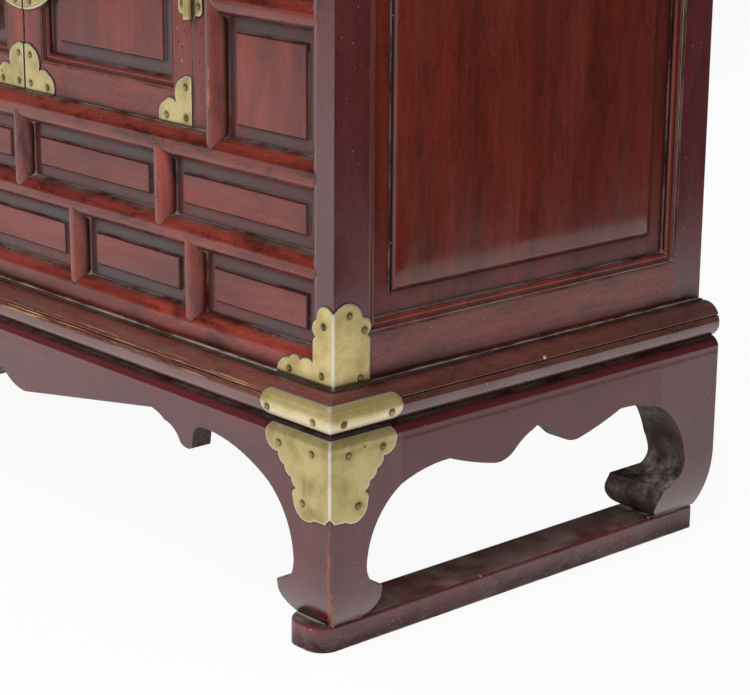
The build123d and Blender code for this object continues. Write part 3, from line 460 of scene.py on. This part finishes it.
def rubbed_spots(finish):
    """Small rubbed places on the faces of the doors' jambs."""
    ragged = finish.times(finish.noise(finish.place, 420.0, 3.0, 0.6), RUB_RAGGED)
    spots = 0.0
    for wide, high, radius in JAMB_RUBS:
        beside = finish.math("SUBTRACT", finish.math("ABSOLUTE", finish.across), wide)
        above = finish.math("DIVIDE", finish.math("SUBTRACT", finish.height, high), RUB_TALL)
        reach = finish.math("ADD", finish.away(beside, above), ragged)
        spots = finish.most(spots, finish.span(reach, radius, radius + RUB_FADE, 1.0, 0.0))
    return spots


def shoulder_blend(finish):
    """Relief that lets the stand's rounded shoulder start softly from its flat faces."""
    turn = bpy.context.scene.chest_detail.shoulder_turn
    return finish.span(finish.height, SHOULDER - turn, SHOULDER + turn, 0.0, -0.13 * turn)


def seam_dust(finish, lint, drift):
    """A thin line of dust where the body stands on the base moulding."""
    off_side = finish.math("SUBTRACT", finish.math("ABSOLUTE", finish.across), POST_HIGH.x)
    off = finish.most(off_side, finish.math("SUBTRACT", POST_LOW.y, finish.depth))
    line = finish.times(finish.span(off, *SEAM_WIDTH, 1.0, 0.0), finish.span(drift, 0.34, 0.56, 0.3, 1.0))
    top = finish.span(finish.height, *(MOULDING_HIGH.z - deep for deep in SEAM_DEPTH))
    return finish.times(line, top, finish.span(lint, 0.3, 0.55, 0.6, 1.0))


def corner_dust(finish, groove, corner, lint, drift):
    """Dust in the joints and corners that don't face down."""
    joint = finish.times(finish.span(groove, 0.33, 0.43), finish.span(drift, 0.38, 0.6, 0.1, 0.9))
    nook = finish.times(finish.span(corner, 0.46, 0.58), finish.span(groove, 0.24, 0.4))
    nook = finish.times(nook, finish.span(drift, 0.35, 0.55))
    level = finish.span(finish.facing[2], -0.4, 0.0)
    return finish.times(finish.most(joint, nook), level, finish.span(lint, 0.25, 0.5, 0.4, 1.0))


def soffit(finish, outer):
    """Where a leg or an apron faces none of its outer ways."""
    shown = 0.0
    if "side" in outer:
        shown = finish.times(finish.facing[0], finish.math("SIGN", finish.across))
    if "front" in outer:
        shown = finish.most(shown, finish.math("MULTIPLY", finish.facing[1], -1.0))
    if "back" in outer:
        shown = finish.most(shown, finish.facing[1])
    below = finish.span(finish.height, *(SHOULDER - drop for drop in CRUST_TOP), 1.0, 0.0)
    return finish.times(below, finish.span(shown, 0.45, 0.8, 1.0, 0.0))


def lacquer(
    name, axis, tones, tone_and_painted_light=1.0, depth=0.6, worn=0.6, edge_highlight=0.15, dusty=0.6, film=0.6, specks=0.005,
    mottled=0.4, patchy=0.6, grime_and_shade_strength=0.9, gloss=0.2, sheen=1.66, soft=1.0, field=None, margin=None,
    door=False, foot=False, rubs=False, under=None, seam=False, scratched=False, scuffed=0.0,
):
    """Dark red gloss lacquer over straight grain, rubbed at the edges and with painted highlights along
    them, with painted shade, grime and dust in the corners.
    """
    colours = bpy.context.scene.chest_finish
    detail = bpy.context.scene.chest_detail
    # Tones scaled for this copy of the lacquer: partly the piece's own tone, partly painted light for how
    # lit its faces are
    dark = shaded(getattr(colours, f"{tones}_dark"), tone_and_painted_light)
    pale = shaded(getattr(colours, f"{tones}_red"), tone_and_painted_light)
    finish = Finish(name)
    normal, edge = finish.rounded(soft * detail.edge_round)
    groove = finish.hidden(detail.groove)
    corner = finish.hidden(detail.corner)

    # Grain, with darker patches and clouds, and painted shade with dark stain in the corners
    base, streak = grain(finish, axis, dark, pale, depth)
    if door:
        base = finish.mix(door_rails(finish), base, grain(finish, "X", dark, pale, depth)[0])
    patch = finish.streaks(axis, 4.0, 13.0)
    base = finish.mix(finish.span(patch, 0.42, 0.72, 0.0, 0.5), base, dark)
    cloud = finish.streaks(axis, 22.0, 60.0, (4.0, 8.0, 1.0), 5.0, 0.65, 0.4)
    base = finish.mix(finish.times(finish.span(cloud, 0.48, 0.72), mottled), base, shaded(dark, 0.3))
    smear = finish.streaks(axis, 7.0, 24.0, (9.0, 2.0, 5.0), twist=0.5)
    # Corners found by occlusion are darkened: painted shade, with some dark stain
    stain = finish.times(finish.span(corner, 0.05, 0.34), finish.span(smear, 0.3, 0.6, 0.55, 0.92))
    base = finish.mix(stain, base, shaded(dark, 0.22))
    # The recessed margins behind the fields get grey bloom and painted shade
    if margin:
        margin_bloom_and_shade = finish.times(panel_margin(finish, margin), finish.span(smear, 0.36, 0.6, 0.35, 0.95))
        base = finish.cover(base, margin_bloom_and_shade, "bloom_and_shade")

    # Grime and painted shade in the grooves, and a dark line of painted shade and grime round the raised
    # fields
    # Grooves found by occlusion are darkened: grime and painted shade
    lines = finish.times(finish.span(groove, 0.17, 0.44), grime_and_shade_strength)
    if field:
        edges = field_edges(finish, field)
        inside = finish.math("MINIMUM", *edges)
        # A dark band just outside the field's edge: painted shade and grime where the field steps down
        rim = finish.times(finish.span(inside, *RIM_OUTSIDE), finish.span(inside, *RIM_INSIDE, 0.95, 0.0))
        lines = finish.most(lines, rim)
        normal = finish.bump(cushion(finish, edges), 1.0, 1.0, normal)
    base = finish.cover(base, lines, "grime_and_shade")

    # Scuffs with pale chips, and crust with painted shade on the stand's inner faces
    lint = finish.noise(finish.place, 230.0, 4.0, 0.7)
    drift = finish.noise(finish.place, 26.0, 4.0, 0.6)
    if scuffed:
        scuff = finish.streaks(axis, 30.0, 75.0, (6.0, 1.0, 3.0), 6.0, 0.7, 0.6)
        base = finish.cover(base, finish.times(finish.span(scuff, 0.46, 0.64), scuffed), "scuff")
        chipped = finish.times(finish.specks(95.0, 0.25 * scuffed, 0.22), finish.span(lint, 0.36, 0.5))
        base = finish.cover(base, chipped, "dust")
    chips = finish.noise(finish.place, 60.0, 5.0, 0.65)
    if under:
        # The inner faces low on the stand are darkened: crust and painted shade
        below = finish.times(soffit(finish, under), finish.span(chips, 0.3, 0.58, 0.6, 0.95))
        base = finish.cover(base, below, "crust_and_shade")
        fluff = finish.times(finish.span(drift, 0.42, 0.62), finish.span(lint, 0.36, 0.58, 0.25, 1.0))
        fluff = finish.times(fluff, finish.span(finish.facing[2], -0.25, 0.5, 0.15, 0.7))
        base = finish.cover(base, finish.times(below, fluff), "dust")
        lines = finish.most(lines, below)
        normal = finish.bump(shoulder_blend(finish), 1.0, 1.0, normal)

    # Painted highlights along the edges, in the dust colour, and rubbed edges
    arris = finish.times(finish.span(edge, 0.012, 0.09), finish.span(corner, 0.3, 0.6, 1.0, 0.0))
    if edge_highlight:
        glint = finish.times(arris, finish.span(smear, 0.35, 0.6, 0.4, 1.0), edge_highlight)
        base = finish.cover(base, glint, "dust")
    rubbed = finish.times(arris, finish.span(chips, 0.47, 0.6), worn)
    if foot:
        rubbed = finish.most(rubbed, foot_wear(finish))
    if rubs:
        rubbed = finish.most(rubbed, rubbed_spots(finish))
    base = finish.cover(base, rubbed, "wear")
    if scratched:
        base = finish.cover(base, moulding_scratches(finish), "scratch")

    # Dust in the corners or along the seam, a veil on what faces up, and specks
    if seam:
        settled = seam_dust(finish, lint, drift)
    else:
        settled = finish.times(corner_dust(finish, groove, corner, lint, drift), dusty)
    veil = finish.times(finish.span(finish.facing[2], 0.7, 0.98), finish.span(drift, 0.36, 0.7, 0.02, 0.3))
    veil = finish.times(veil, finish.span(lint, 0.3, 0.6, 0.5, 1.0), film)
    spots = finish.most(finish.specks(190.0, specks, 0.16), finish.specks(420.0, 2.0 * specks, 0.22))
    dust = finish.most(settled, veil, finish.times(spots, 0.75))
    base = finish.cover(base, dust, "dust")
    finish.put(finish.shader.inputs["Base Color"], base)

    # Gloss, dulled in the shaded corners and by dust, grime and wear, and fine relief
    dull = finish.most(dust, lines, rubbed)
    rough = finish.span(smear, 0.3, 0.75, gloss - 0.05, gloss + 0.08)
    rough = finish.math("ADD", rough, finish.times(dull, 0.5), clamp=True)
    finish.put(finish.shader.inputs["Roughness"], rough)
    shine = finish.span(smear, 0.32, 0.66, 0.52 - 0.3 * patchy, 0.52)
    shine = finish.times(shine, finish.rest(finish.times(stain, 0.8)), finish.rest(finish.times(dull, 0.7)))
    finish.put(finish.shader.inputs["Specular IOR Level"], shine)
    finish.shader.inputs["IOR"].default_value = sheen
    finish.shader.inputs["Specular Tint"].default_value = GLOSS_TINT
    normal = finish.bump(streak, 0.1, 0.0004, normal)
    normal = finish.bump(finish.noise(finish.place, 24.0, 2.0, 0.5), 0.25, 0.0012, normal)
    finish.put(finish.shader.inputs["Normal"], normal)
    return finish.material


def brass(
    name, clean="pale", old="dull", tone_and_painted_light=1.0, fold=1.0, dirt_and_shade_share=0.9, satin=0.0,
    fold_highlight=False, strap=False, blended=False, ringed=False,
):
    """Pale brass sheet with tarnish, fine scratches, rubbed edges with painted highlights, a painted
    highlight along the folds, and dirt with painted shade round the nails.
    """
    colours = bpy.context.scene.chest_finish
    detail = bpy.context.scene.chest_detail
    # Tones scaled for this copy of the brass: partly its own tone, partly painted light for how lit its
    # faces are
    bright = shaded(getattr(colours, f"brass_{clean}"), tone_and_painted_light)
    tarnish = shaded(getattr(colours, f"brass_{old}"), tone_and_painted_light)
    finish = Finish(name)

    # Tarnish, the bands of the straps, and dirt with painted shade round the nails
    cloud = finish.noise(finish.place, 34.0, 5.0, 0.62, 0.4)
    speckle = finish.noise(finish.place, 420.0, 3.0, 0.6)
    base = finish.mix(finish.span(cloud, 0.36, 0.74), bright, tarnish)
    if strap:
        level = finish.math("SUBTRACT", finish.height, QUIRK)
        wavy = finish.math("ADD", level, finish.times(finish.math("SUBTRACT", cloud, 0.5), STRAP_WAVE))
        base = finish.cover(base, finish.span(wavy, *STRAP_SILVER, 0.75, 0.0), "brass_silver")
        base = finish.cover(base, finish.span(wavy, *STRAP_GOLD, 0.0, 0.5), "brass_gold")
    base = finish.mix(finish.times(finish.span(speckle, 0.55, 0.72), 0.6), base, tarnish)
    normal, edge = finish.rounded(fold * detail.brass_round)
    # Round the nails, where occlusion finds them, the brass is darkened: dirt and painted shade
    ring = finish.hidden(detail.nail_ring)
    blots = finish.times(finish.specks(130.0, 0.03, 0.22), 0.5)
    dirt_and_shade = finish.most(finish.times(finish.span(ring, 0.03, 0.17), dirt_and_shade_share), blots)
    base = finish.cover(base, dirt_and_shade, "brass_dirt_and_shade")

    # Edges rubbed bright with painted highlights, and a painted highlight along the folds
    rubbed = finish.times(finish.span(edge, 0.008, 0.09), 0.8, finish.rest(dirt_and_shade))
    if strap:
        rubbed = finish.times(rubbed, finish.span(finish.math("ABSOLUTE", level), *STRAP_CLEAR))
    if fold_highlight:
        worn = finish.streaks("Z", 40.0, 9.0, rough=0.65)
        fold_highlight_line = finish.span(off_corner(finish), FOLD_START, detail.fold_highlight_width, 1.0, 0.0)
        rubbed = finish.most(rubbed, finish.times(fold_highlight_line, finish.span(worn, 0.35, 0.6, 0.55, 1.0)))
    base = finish.cover(base, rubbed, "brass_rubbed_and_highlight")
    finish.put(finish.shader.inputs["Base Color"], base)

    # Gloss, and fine relief
    finish.shader.inputs["Metallic"].default_value = BRASS_METAL
    rough = finish.span(cloud, 0.3, 0.75, 0.3 + satin, 0.46 + satin)
    rough = finish.math("ADD", rough, finish.times(dirt_and_shade, 0.4), clamp=True)
    finish.put(finish.shader.inputs["Roughness"], rough)
    scratch = finish.streaks("X", 60.0, 900.0, detail=2.0, rough=0.5)
    normal = finish.bump(scratch, 0.08, 0.0003, normal)
    normal = finish.bump(finish.noise(finish.place, 55.0, 2.0, 0.5), 0.12, 0.0015, normal)
    if ringed:
        normal = finish.bump(lock_rings(finish), 0.6, 0.0006, normal)
    if blended:
        normal = finish.bump(shoulder_blend(finish), 1.0, 1.0, normal)
    finish.put(finish.shader.inputs["Normal"], normal)
    return finish.material


def lock_rings(finish):
    """Lines cut round the lock plate, near its rim."""
    reach = finish.away(finish.across, finish.math("SUBTRACT", finish.height, LOCK_MIDDLE))
    lines = 1.0
    for share in LOCK_RINGS:
        ring = share * (LOCK_HIGH.z - LOCK_MIDDLE)
        off = finish.math("ABSOLUTE", finish.math("SUBTRACT", reach, ring))
        lines = finish.math("MINIMUM", lines, finish.span(off, *LOCK_CUT))
    return lines


def plain_wood(name, axis):
    """Unpolished wood inside and at the back."""
    colours = bpy.context.scene.chest_finish
    finish = Finish(name)
    base, streak = grain(finish, axis, tuple(colours.wood_dark), tuple(colours.wood_pale), 0.7)
    stain = finish.noise(finish.place, 5.0, 5.0, 0.65)
    base = finish.cover(base, finish.span(stain, 0.5, 0.78, 0.0, 0.6), "wood_dark")
    base = finish.cover(base, finish.times(finish.specks(150.0, 0.03, 0.2), 0.5), "dust")
    finish.put(finish.shader.inputs["Base Color"], base)
    finish.put(finish.shader.inputs["Roughness"], finish.span(streak, 0.3, 0.7, 0.55, 0.78))
    normal = finish.rounded(bpy.context.scene.chest_detail.edge_round)[0]
    finish.put(finish.shader.inputs["Normal"], finish.bump(streak, 0.35, 0.0006, normal))
    return finish.material


def hole_finish(name, dark, pale):
    """The inside, the plug or the rubbed rim of an old nail hole."""
    finish = Finish(name)
    lint = finish.noise(finish.place, 900.0, 3.0, 0.6)
    finish.put(finish.shader.inputs["Base Color"], finish.mix(finish.span(lint, 0.4, 0.65), dark, pale))
    finish.put(finish.shader.inputs["Roughness"], finish.span(lint, 0.3, 0.7, 0.6, 0.9))
    return finish.material


def dress(material, *nodes):
    """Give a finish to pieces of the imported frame."""
    for name in nodes:
        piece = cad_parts[name]
        if not piece.material_slots:
            raise RuntimeError(f"{name} has no material slot")
        for slot in piece.material_slots:
            slot.link = "OBJECT"
            slot.material = material


class CHEST_OT_front_frame(bpy.types.Operator):
    """Lacquer the posts, rails, muntins and jambs of the front"""

    bl_idname = "chest.front_frame"
    bl_label = "Front frame"

    def execute(self, context):
        bar = {"tones": "bar", "tone_and_painted_light": 1.15, "worn": 0.7, "mottled": 0.9, "edge_highlight": 0.3}
        bar.update(dusty=1.2, sheen=1.6)
        dress(lacquer("front_rail_lacquer", "X", **bar), "front_rails", "flank_rails")
        upright = lacquer("muntin_lacquer", "Z", **bar)
        dress(upright, "lower_row_muntins", "upper_row_muntins", "drawer_muntins")
        jamb = {"worn": 1.0, "mottled": 0.6, "dusty": 0.7, "sheen": 1.62, "rubs": True}
        dress(lacquer("door_jamb_lacquer", "Z", "bar", **jamb), "door_jambs")
        post = {"depth": 0.7, "patchy": 0.2, "mottled": 0.25, "sheen": 1.85}
        dress(lacquer("front_post_lacquer", "Z", "stand", **post), "front_posts")
        return {"FINISHED"}


class CHEST_OT_front_panels(bpy.types.Operator):
    """Lacquer the raised panels of the front"""

    bl_idname = "chest.front_panels"
    bl_label = "Front panels"

    def execute(self, context):
        panel = {"tones": "panel", "tone_and_painted_light": 1.07, "dusty": 0.35, "worn": 0.4}
        row = lacquer("row_panel_lacquer", "X", margin="upper_row_panels", **panel)
        tall = lacquer("flank_panel_lacquer", "Z", margin="flank_panels", **panel)
        dress(row, "lower_row_panels", "upper_row_panels")
        dress(tall, "flank_panels")
        return {"FINISHED"}


class CHEST_OT_sides(bpy.types.Operator):
    """Lacquer the side frames, their beads and their tall panels, and the top"""

    bl_idname = "chest.sides"
    bl_label = "Sides and top"

    def execute(self, context):
        # The side panels' tones are scaled down: painted shade on the chest's side
        panel = lacquer(
            "side_panel_lacquer", "Z", "panel", tone_and_painted_light=0.74, depth=0.5, worn=0.2, mottled=0.4, specks=0.012,
            patchy=0.3, gloss=0.19, sheen=1.6, field="side_panels",
        )
        rail = lacquer("side_rail_lacquer", "Y", "bar", tone_and_painted_light=1.12, depth=0.9, worn=0.4, mottled=0.6)
        dress(panel, "side_panels")
        dress(rail, "side_rails")
        # The side beads get a strong painted highlight along their edges
        dress(lacquer("side_bead_lacquer", "Z", "bar", depth=0.3, worn=0.5, edge_highlight=0.9), "side_beads")
        dress(lacquer("back_post_lacquer", "Z", "stand", depth=0.4, patchy=0.3, sheen=1.75), "back_posts")
        top = lacquer("top_lacquer", "X", "panel", film=0.08, mottled=0.2, patchy=0.3, specks=0.01)
        dress(top, "top_board")
        return {"FINISHED"}


class CHEST_OT_base(bpy.types.Operator):
    """Lacquer the base moulding, the legs, the aprons and the floor runners"""

    bl_idname = "chest.base"
    bl_label = "Moulding and stand"

    def execute(self, context):
        moulding = {"tones": "moulding", "tone_and_painted_light": 1.12, "film": 0.25, "specks": 0.025, "sheen": 2.0}
        moulding.update(seam=True, scuffed=0.3)
        front = lacquer("front_moulding_lacquer", "X", worn=0.8, scratched=True, **moulding)
        dress(front, "base_moulding_front")
        dress(lacquer("side_moulding_lacquer", "Y", worn=0.6, **moulding), "base_moulding_sides")
        stand = {"tones": "stand", "depth": 0.35, "worn": 0.2, "edge_highlight": 0.0, "dusty": 0.2, "grime_and_shade_strength": 0.6}
        leg = {"axis": "Z", "patchy": 0.2, "mottled": 0.3, "sheen": 1.68, **stand}
        dress(lacquer("front_leg_lacquer", foot=True, under=("side", "front"), **leg), "front_legs")
        dress(lacquer("back_leg_lacquer", under=("side", "back"), **leg), "back_legs")
        apron = {"patchy": 0.2, "mottled": 0.25, **stand}
        dress(lacquer("front_apron_lacquer", "X", sheen=1.75, under=("front",), **apron), "front_apron")
        dress(lacquer("side_apron_lacquer", "Y", sheen=1.6, under=("side",), **apron), "side_aprons")
        # The runners' tones are scaled up: painted light on their dim sides
        runner = lacquer(
            "runner_lacquer", "Y", "stand", tone_and_painted_light=1.6, worn=1.0, dusty=1.4, film=1.6, specks=0.06,
            mottled=0.8, patchy=0.5, gloss=0.36, sheen=1.76, soft=0.45, scuffed=0.75,
        )
        dress(runner, "floor_runners")
        return {"FINISHED"}


class CHEST_OT_doors(bpy.types.Operator):
    """Lacquer the doors' frames and panels"""

    bl_idname = "chest.doors"
    bl_label = "Doors"

    def execute(self, context):
        stile = lacquer("door_frame_lacquer", "Z", "bar", mottled=0.35, dusty=0.4, sheen=1.62, door=True)
        panel = lacquer("door_panel_lacquer", "Z", "panel", dusty=0.35, worn=0.4, margin="door_right_panel")
        for side in ("left", "right"):
            dress(stile, f"door_{side}_frame")
            dress(panel, f"door_{side}_panel")
        return {"FINISHED"}


class CHEST_OT_drawers(bpy.types.Operator):
    """Lacquer the drawers' fronts and give their boxes plain wood"""

    bl_idname = "chest.drawers"
    bl_label = "Drawers"

    def execute(self, context):
        face = lacquer("drawer_front_lacquer", "X", "panel")
        box = plain_wood("drawer_box_wood", "Y")
        for place in ("left", "centre", "right"):
            dress(face, f"drawer_{place}_front")
            dress(box, f"drawer_{place}_box")
        return {"FINISHED"}


class CHEST_OT_inside(bpy.types.Operator):
    """Give the back and the boards inside plain wood"""

    bl_idname = "chest.inside"
    bl_label = "Back and inside"

    def execute(self, context):
        dress(plain_wood("back_panel_wood", "Z"), "back_panel")
        board = plain_wood("inner_board_wood", "X")
        dress(board, "back_rails", "back_apron", "base_back_bar", "cabinet_floor")
        dress(plain_wood("shelf_wood", "X"), "drawer_shelf")
        return {"FINISHED"}


class CHEST_OT_brass(bpy.types.Operator):
    """Give the plates, straps, hinges, nails and bails brass"""

    bl_idname = "chest.brass"
    bl_label = "Brass"

    def execute(self, context):
        sheet = brass("brass_sheet")
        dress(sheet, "jamb_hinge_leaves")
        dress(brass("corner_plate_brass", tone_and_painted_light=1.14, fold_highlight=True), "body_corner_plates")
        dress(brass("strap_brass", tone_and_painted_light=1.25, fold=2.0, fold_highlight=True, strap=True), "moulding_straps")
        dress(brass("leg_plate_brass", tone_and_painted_light=0.9, satin=0.1, fold_highlight=True, blended=True), "leg_plates")
        nail = brass("brass_nail", "dull", "dirt_and_shade", fold=0.15, dirt_and_shade_share=1.0)
        dress(nail, "carcass_nails", "door_left_nails", "door_right_nails", "hinge_pins")
        lock = brass("lock_plate_brass", ringed=True)
        cast = brass("bail_brass")
        for side in ("left", "right"):
            dress(sheet, f"door_{side}_corner_plates", f"door_{side}_hinge_leaves")
            dress(lock, f"door_{side}_lock_plate")
            dress(cast, f"door_{side}_pull")
        for place in ("left", "centre", "right"):
            dress(sheet, f"drawer_{place}_pull_plate")
            dress(cast, f"drawer_{place}_bail")
        return {"FINISHED"}


class CHEST_OT_nail_holes(bpy.types.Operator):
    """Mark the old nail holes round the right door's lower hinge"""

    bl_idname = "chest.nail_holes"
    bl_label = "Old nail holes"

    def execute(self, context):
        colours = context.scene.chest_finish
        # The dark middle of a hole is painted shade and dirt on a flat mark
        dark = hole_finish("nail_hole_dark", tuple(colours.hole), tuple(colours.grime_and_shade))
        rim = hole_finish("nail_hole_rim", tuple(colours.bar_dark), tuple(colours.wear))
        plug = hole_finish("nail_hole_plug", tuple(colours.wear), tuple(colours.dust))
        mark_holes("door_nail_holes", DOOR_HOLES, "door_right", rim, dark)
        mark_holes("door_plugged_holes", PLUGGED_HOLES, "door_right", rim, plug)
        mark_holes("jamb_nail_holes", JAMB_HOLES, "carcass", rim, dark)
        return {"FINISHED"}


def mark_holes(name, places, body, rim, middle):
    """Small dished marks on the plane of the doors' faces."""
    detail = bpy.context.scene.chest_detail
    points = detail.hole_points
    shape = bmesh.new()
    for across, up, radius in places:
        loops = []
        for share, proud in HOLE_LOOPS:
            loop = []
            for step in range(points):
                turn = math.tau * step / points
                wave = 1 + 0.12 * math.sin(3 * turn + 900 * across) + 0.08 * math.sin(5 * turn + 700 * up)
                reach = radius * share * wave
                wide, high = across + reach * math.cos(turn), up + reach * math.sin(turn)
                loop.append(shape.verts.new((wide, DOOR_FACE - proud * detail.hole_proud, high)))
            loops.append(loop)
        for outer, inner in zip(loops, loops[1:]):
            for step in range(points):
                after = (step + 1) % points
                shape.faces.new((outer[step], outer[after], inner[after], inner[step]))
        shape.faces.new(loops[-1]).material_index = 1
    shape.normal_update()
    mesh = bpy.data.meshes.new(name)
    shape.to_mesh(mesh)
    shape.free()
    mesh.materials.append(rim)
    mesh.materials.append(middle)
    piece = bpy.data.objects.new(name, mesh)
    bpy.context.scene.collection.objects.link(piece)
    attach(piece, body)


class CHEST_OT_stage(bpy.types.Operator):
    """Set the floor, the lights, the room and the camera"""

    bl_idname = "chest.stage"
    bl_label = "Studio"

    def execute(self, context):
        stage = context.scene.chest_stage
        lay_floor(stage)
        stand_cards(stage)
        light_room(stage)
        hang_lights(stage)
        place_camera(stage)
        context.scene.view_settings.view_transform = "Standard"
        return {"FINISHED"}


def shown_white(tree, share):
    """How far a ray of the camera, a gloss or a glass sees plain white."""
    path = tree.nodes.new("ShaderNodeLightPath")
    seen = path.outputs["Is Camera Ray"]
    for kind in ("Is Glossy Ray", "Is Transmission Ray"):
        either = tree.nodes.new("ShaderNodeMath")
        either.operation = "MAXIMUM"
        tree.links.new(seen, either.inputs[0])
        tree.links.new(path.outputs[kind], either.inputs[1])
        seen = either.outputs[0]
    part = tree.nodes.new("ShaderNodeMath")
    part.operation = "MULTIPLY"
    tree.links.new(seen, part.inputs[0])
    part.inputs[1].default_value = share
    return part.outputs[0]


def stage_sheet(name, corners, tone):
    """A flat sheet of the studio in one tone, with the nodes of its paint."""
    mesh = bpy.data.meshes.new(name)
    mesh.from_pydata(corners, [], [(0, 1, 2, 3)])
    sheet = bpy.data.objects.new(name, mesh)
    bpy.context.scene.collection.objects.link(sheet)
    material = bpy.data.materials.new(name)
    material.use_nodes = True
    tree = material.node_tree
    tree.nodes.clear()
    paint = tree.nodes.new("ShaderNodeBsdfDiffuse")
    paint.inputs["Color"].default_value = (*tone, 1.0)
    out = tree.nodes.new("ShaderNodeOutputMaterial")
    tree.links.new(paint.outputs["BSDF"], out.inputs["Surface"])
    mesh.materials.append(material)
    return sheet, tree, paint, out


def lay_floor(stage):
    """A plain pale floor that keeps the chest's shadow."""
    half = stage.floor_half
    corners = [(-half, -half, 0.0), (half, -half, 0.0), (half, half, 0.0), (-half, half, 0.0)]
    floor, tree, paint, out = stage_sheet("floor", corners, stage.floor_pale)
    floor.location.z = -FLOOR_DROP
    white = tree.nodes.new("ShaderNodeEmission")
    both = tree.nodes.new("ShaderNodeMixShader")
    tree.links.new(shown_white(tree, stage.floor_white), both.inputs["Fac"])
    tree.links.new(paint.outputs["BSDF"], both.inputs[1])
    tree.links.new(white.outputs["Emission"], both.inputs[2])
    tree.links.new(both.outputs["Shader"], out.inputs["Surface"])


def stand_cards(stage):
    """Dark cards round the white floor that only the chest's gloss sees."""
    side, front, back, top = stage.card_side, -stage.card_front, stage.card_back, stage.card_height
    far = stage.floor_half
    cards = (
        ("right_card", (side, 0.0), (side, far)),
        ("left_card", (-side, 0.0), (-side, far)),
        ("front_card", (-far, front), (far, front)),
        ("back_card", (-side, back), (side, back)),
    )
    for name, start, end in cards:
        corners = [(*start, 0.0), (*end, 0.0), (*end, top), (*start, top)]
        card = stage_sheet(name, corners, stage.card_tone)[0]
        card.visible_camera = False
        card.visible_diffuse = False
        card.visible_shadow = False
        card.visible_transmission = False


def light_room(stage):
    """A room that is white at eye level and dim overhead."""
    world = bpy.data.worlds.new("studio_room")
    bpy.context.scene.world = world
    world.use_nodes = True
    tree = world.node_tree
    tree.nodes.clear()
    way = tree.nodes.new("ShaderNodeTexCoord")
    parts = tree.nodes.new("ShaderNodeSeparateXYZ")
    tree.links.new(way.outputs["Generated"], parts.inputs[0])
    fade = tree.nodes.new("ShaderNodeMapRange")
    fade.interpolation_type = "SMOOTHSTEP"
    tree.links.new(parts.outputs["Z"], fade.inputs["Value"])
    fade.inputs["From Min"].default_value = math.sin(stage.wall_low)
    fade.inputs["From Max"].default_value = math.sin(stage.wall_high)
    fade.inputs["To Min"].default_value = 1.0
    fade.inputs["To Max"].default_value = stage.ceiling
    room = tree.nodes.new("ShaderNodeBackground")
    tree.links.new(fade.outputs["Result"], room.inputs["Strength"])
    room.inputs["Color"].default_value = (1.0, 1.0, 1.0, 1.0)
    out = tree.nodes.new("ShaderNodeOutputWorld")
    tree.links.new(room.outputs["Background"], out.inputs["Surface"])


def hang_lights(stage):
    """Soft boxes in front, to the left and above."""
    boxes = (
        ("key_light", (1.2, -2.8, 2.2), 3.6, stage.key_power),
        ("fill_light", (-2.8, -0.8, 1.6), 1.8, stage.fill_power),
        ("top_light", (0.1, -0.5, 3.0), 3.6, stage.top_power),
    )
    aim = Vector(LIGHT_AIM)
    for name, spot, size, power in boxes:
        lamp = bpy.data.lights.new(name, "AREA")
        lamp.shape = "SQUARE"
        lamp.size = size
        lamp.energy = power
        holder = bpy.data.objects.new(name, lamp)
        holder.location = spot
        holder.rotation_euler = (aim - Vector(spot)).to_track_quat("-Z", "Y").to_euler()
        holder.visible_glossy = False
        bpy.context.scene.collection.objects.link(holder)


def place_camera(stage):
    """The camera at the photograph's angle."""
    turn, dip, roll = stage.camera_turn, stage.camera_dip, stage.camera_roll
    back = Vector((math.sin(turn) * math.cos(dip), -math.cos(turn) * math.cos(dip), math.sin(dip)))
    right = Vector((math.cos(turn), math.sin(turn), 0.0))
    up = back.cross(right)
    level = math.cos(roll) * right + math.sin(roll) * up
    rise = math.cos(roll) * up - math.sin(roll) * right
    lens = bpy.data.cameras.new("camera")
    lens.lens = stage.lens
    lens.sensor_width = SENSOR_WIDTH
    lens.sensor_fit = "HORIZONTAL"
    lens.clip_end = VIEW_REACH
    camera = bpy.data.objects.new("camera", lens)
    turned = Matrix((level, rise, back)).transposed().to_4x4()
    camera.matrix_world = Matrix.Translation(stage.camera_place) @ turned
    bpy.context.scene.collection.objects.link(camera)
    bpy.context.scene.camera = camera


OPERATORS = (
    CHEST_OT_front_frame,
    CHEST_OT_front_panels,
    CHEST_OT_sides,
    CHEST_OT_base,
    CHEST_OT_doors,
    CHEST_OT_drawers,
    CHEST_OT_inside,
    CHEST_OT_brass,
    CHEST_OT_nail_holes,
    CHEST_OT_stage,
)


class CHEST_PT_panel(bpy.types.Panel):
    """Buttons that dress the chest"""

    bl_idname = "CHEST_PT_panel"
    bl_label = "Chest"
    bl_space_type = "VIEW_3D"
    bl_region_type = "UI"
    bl_category = "Chest"

    def draw(self, context):
        for operator in OPERATORS:
            self.layout.operator(operator.bl_idname)


CLASSES = (ChestFinish, ChestDetail, ChestStage, *OPERATORS, CHEST_PT_panel)


def register():
    """Add the classes and the scene's settings."""
    for kind in CLASSES:
        bpy.utils.register_class(kind)
    bpy.types.Scene.chest_finish = PointerProperty(type=ChestFinish)
    bpy.types.Scene.chest_detail = PointerProperty(type=ChestDetail)
    bpy.types.Scene.chest_stage = PointerProperty(type=ChestStage)


def unregister():
    """Take the classes and the scene's settings away."""
    del bpy.types.Scene.chest_stage
    del bpy.types.Scene.chest_detail
    del bpy.types.Scene.chest_finish
    for kind in reversed(CLASSES):
        bpy.utils.unregister_class(kind)


def main():
    """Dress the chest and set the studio."""
    register()
    bpy.ops.chest.front_frame()
    bpy.ops.chest.front_panels()
    bpy.ops.chest.sides()
    bpy.ops.chest.base()
    bpy.ops.chest.doors()
    bpy.ops.chest.drawers()
    bpy.ops.chest.inside()
    bpy.ops.chest.brass()
    bpy.ops.chest.nail_holes()
    bpy.ops.chest.stage()


if __name__ == "__main__":
    main()
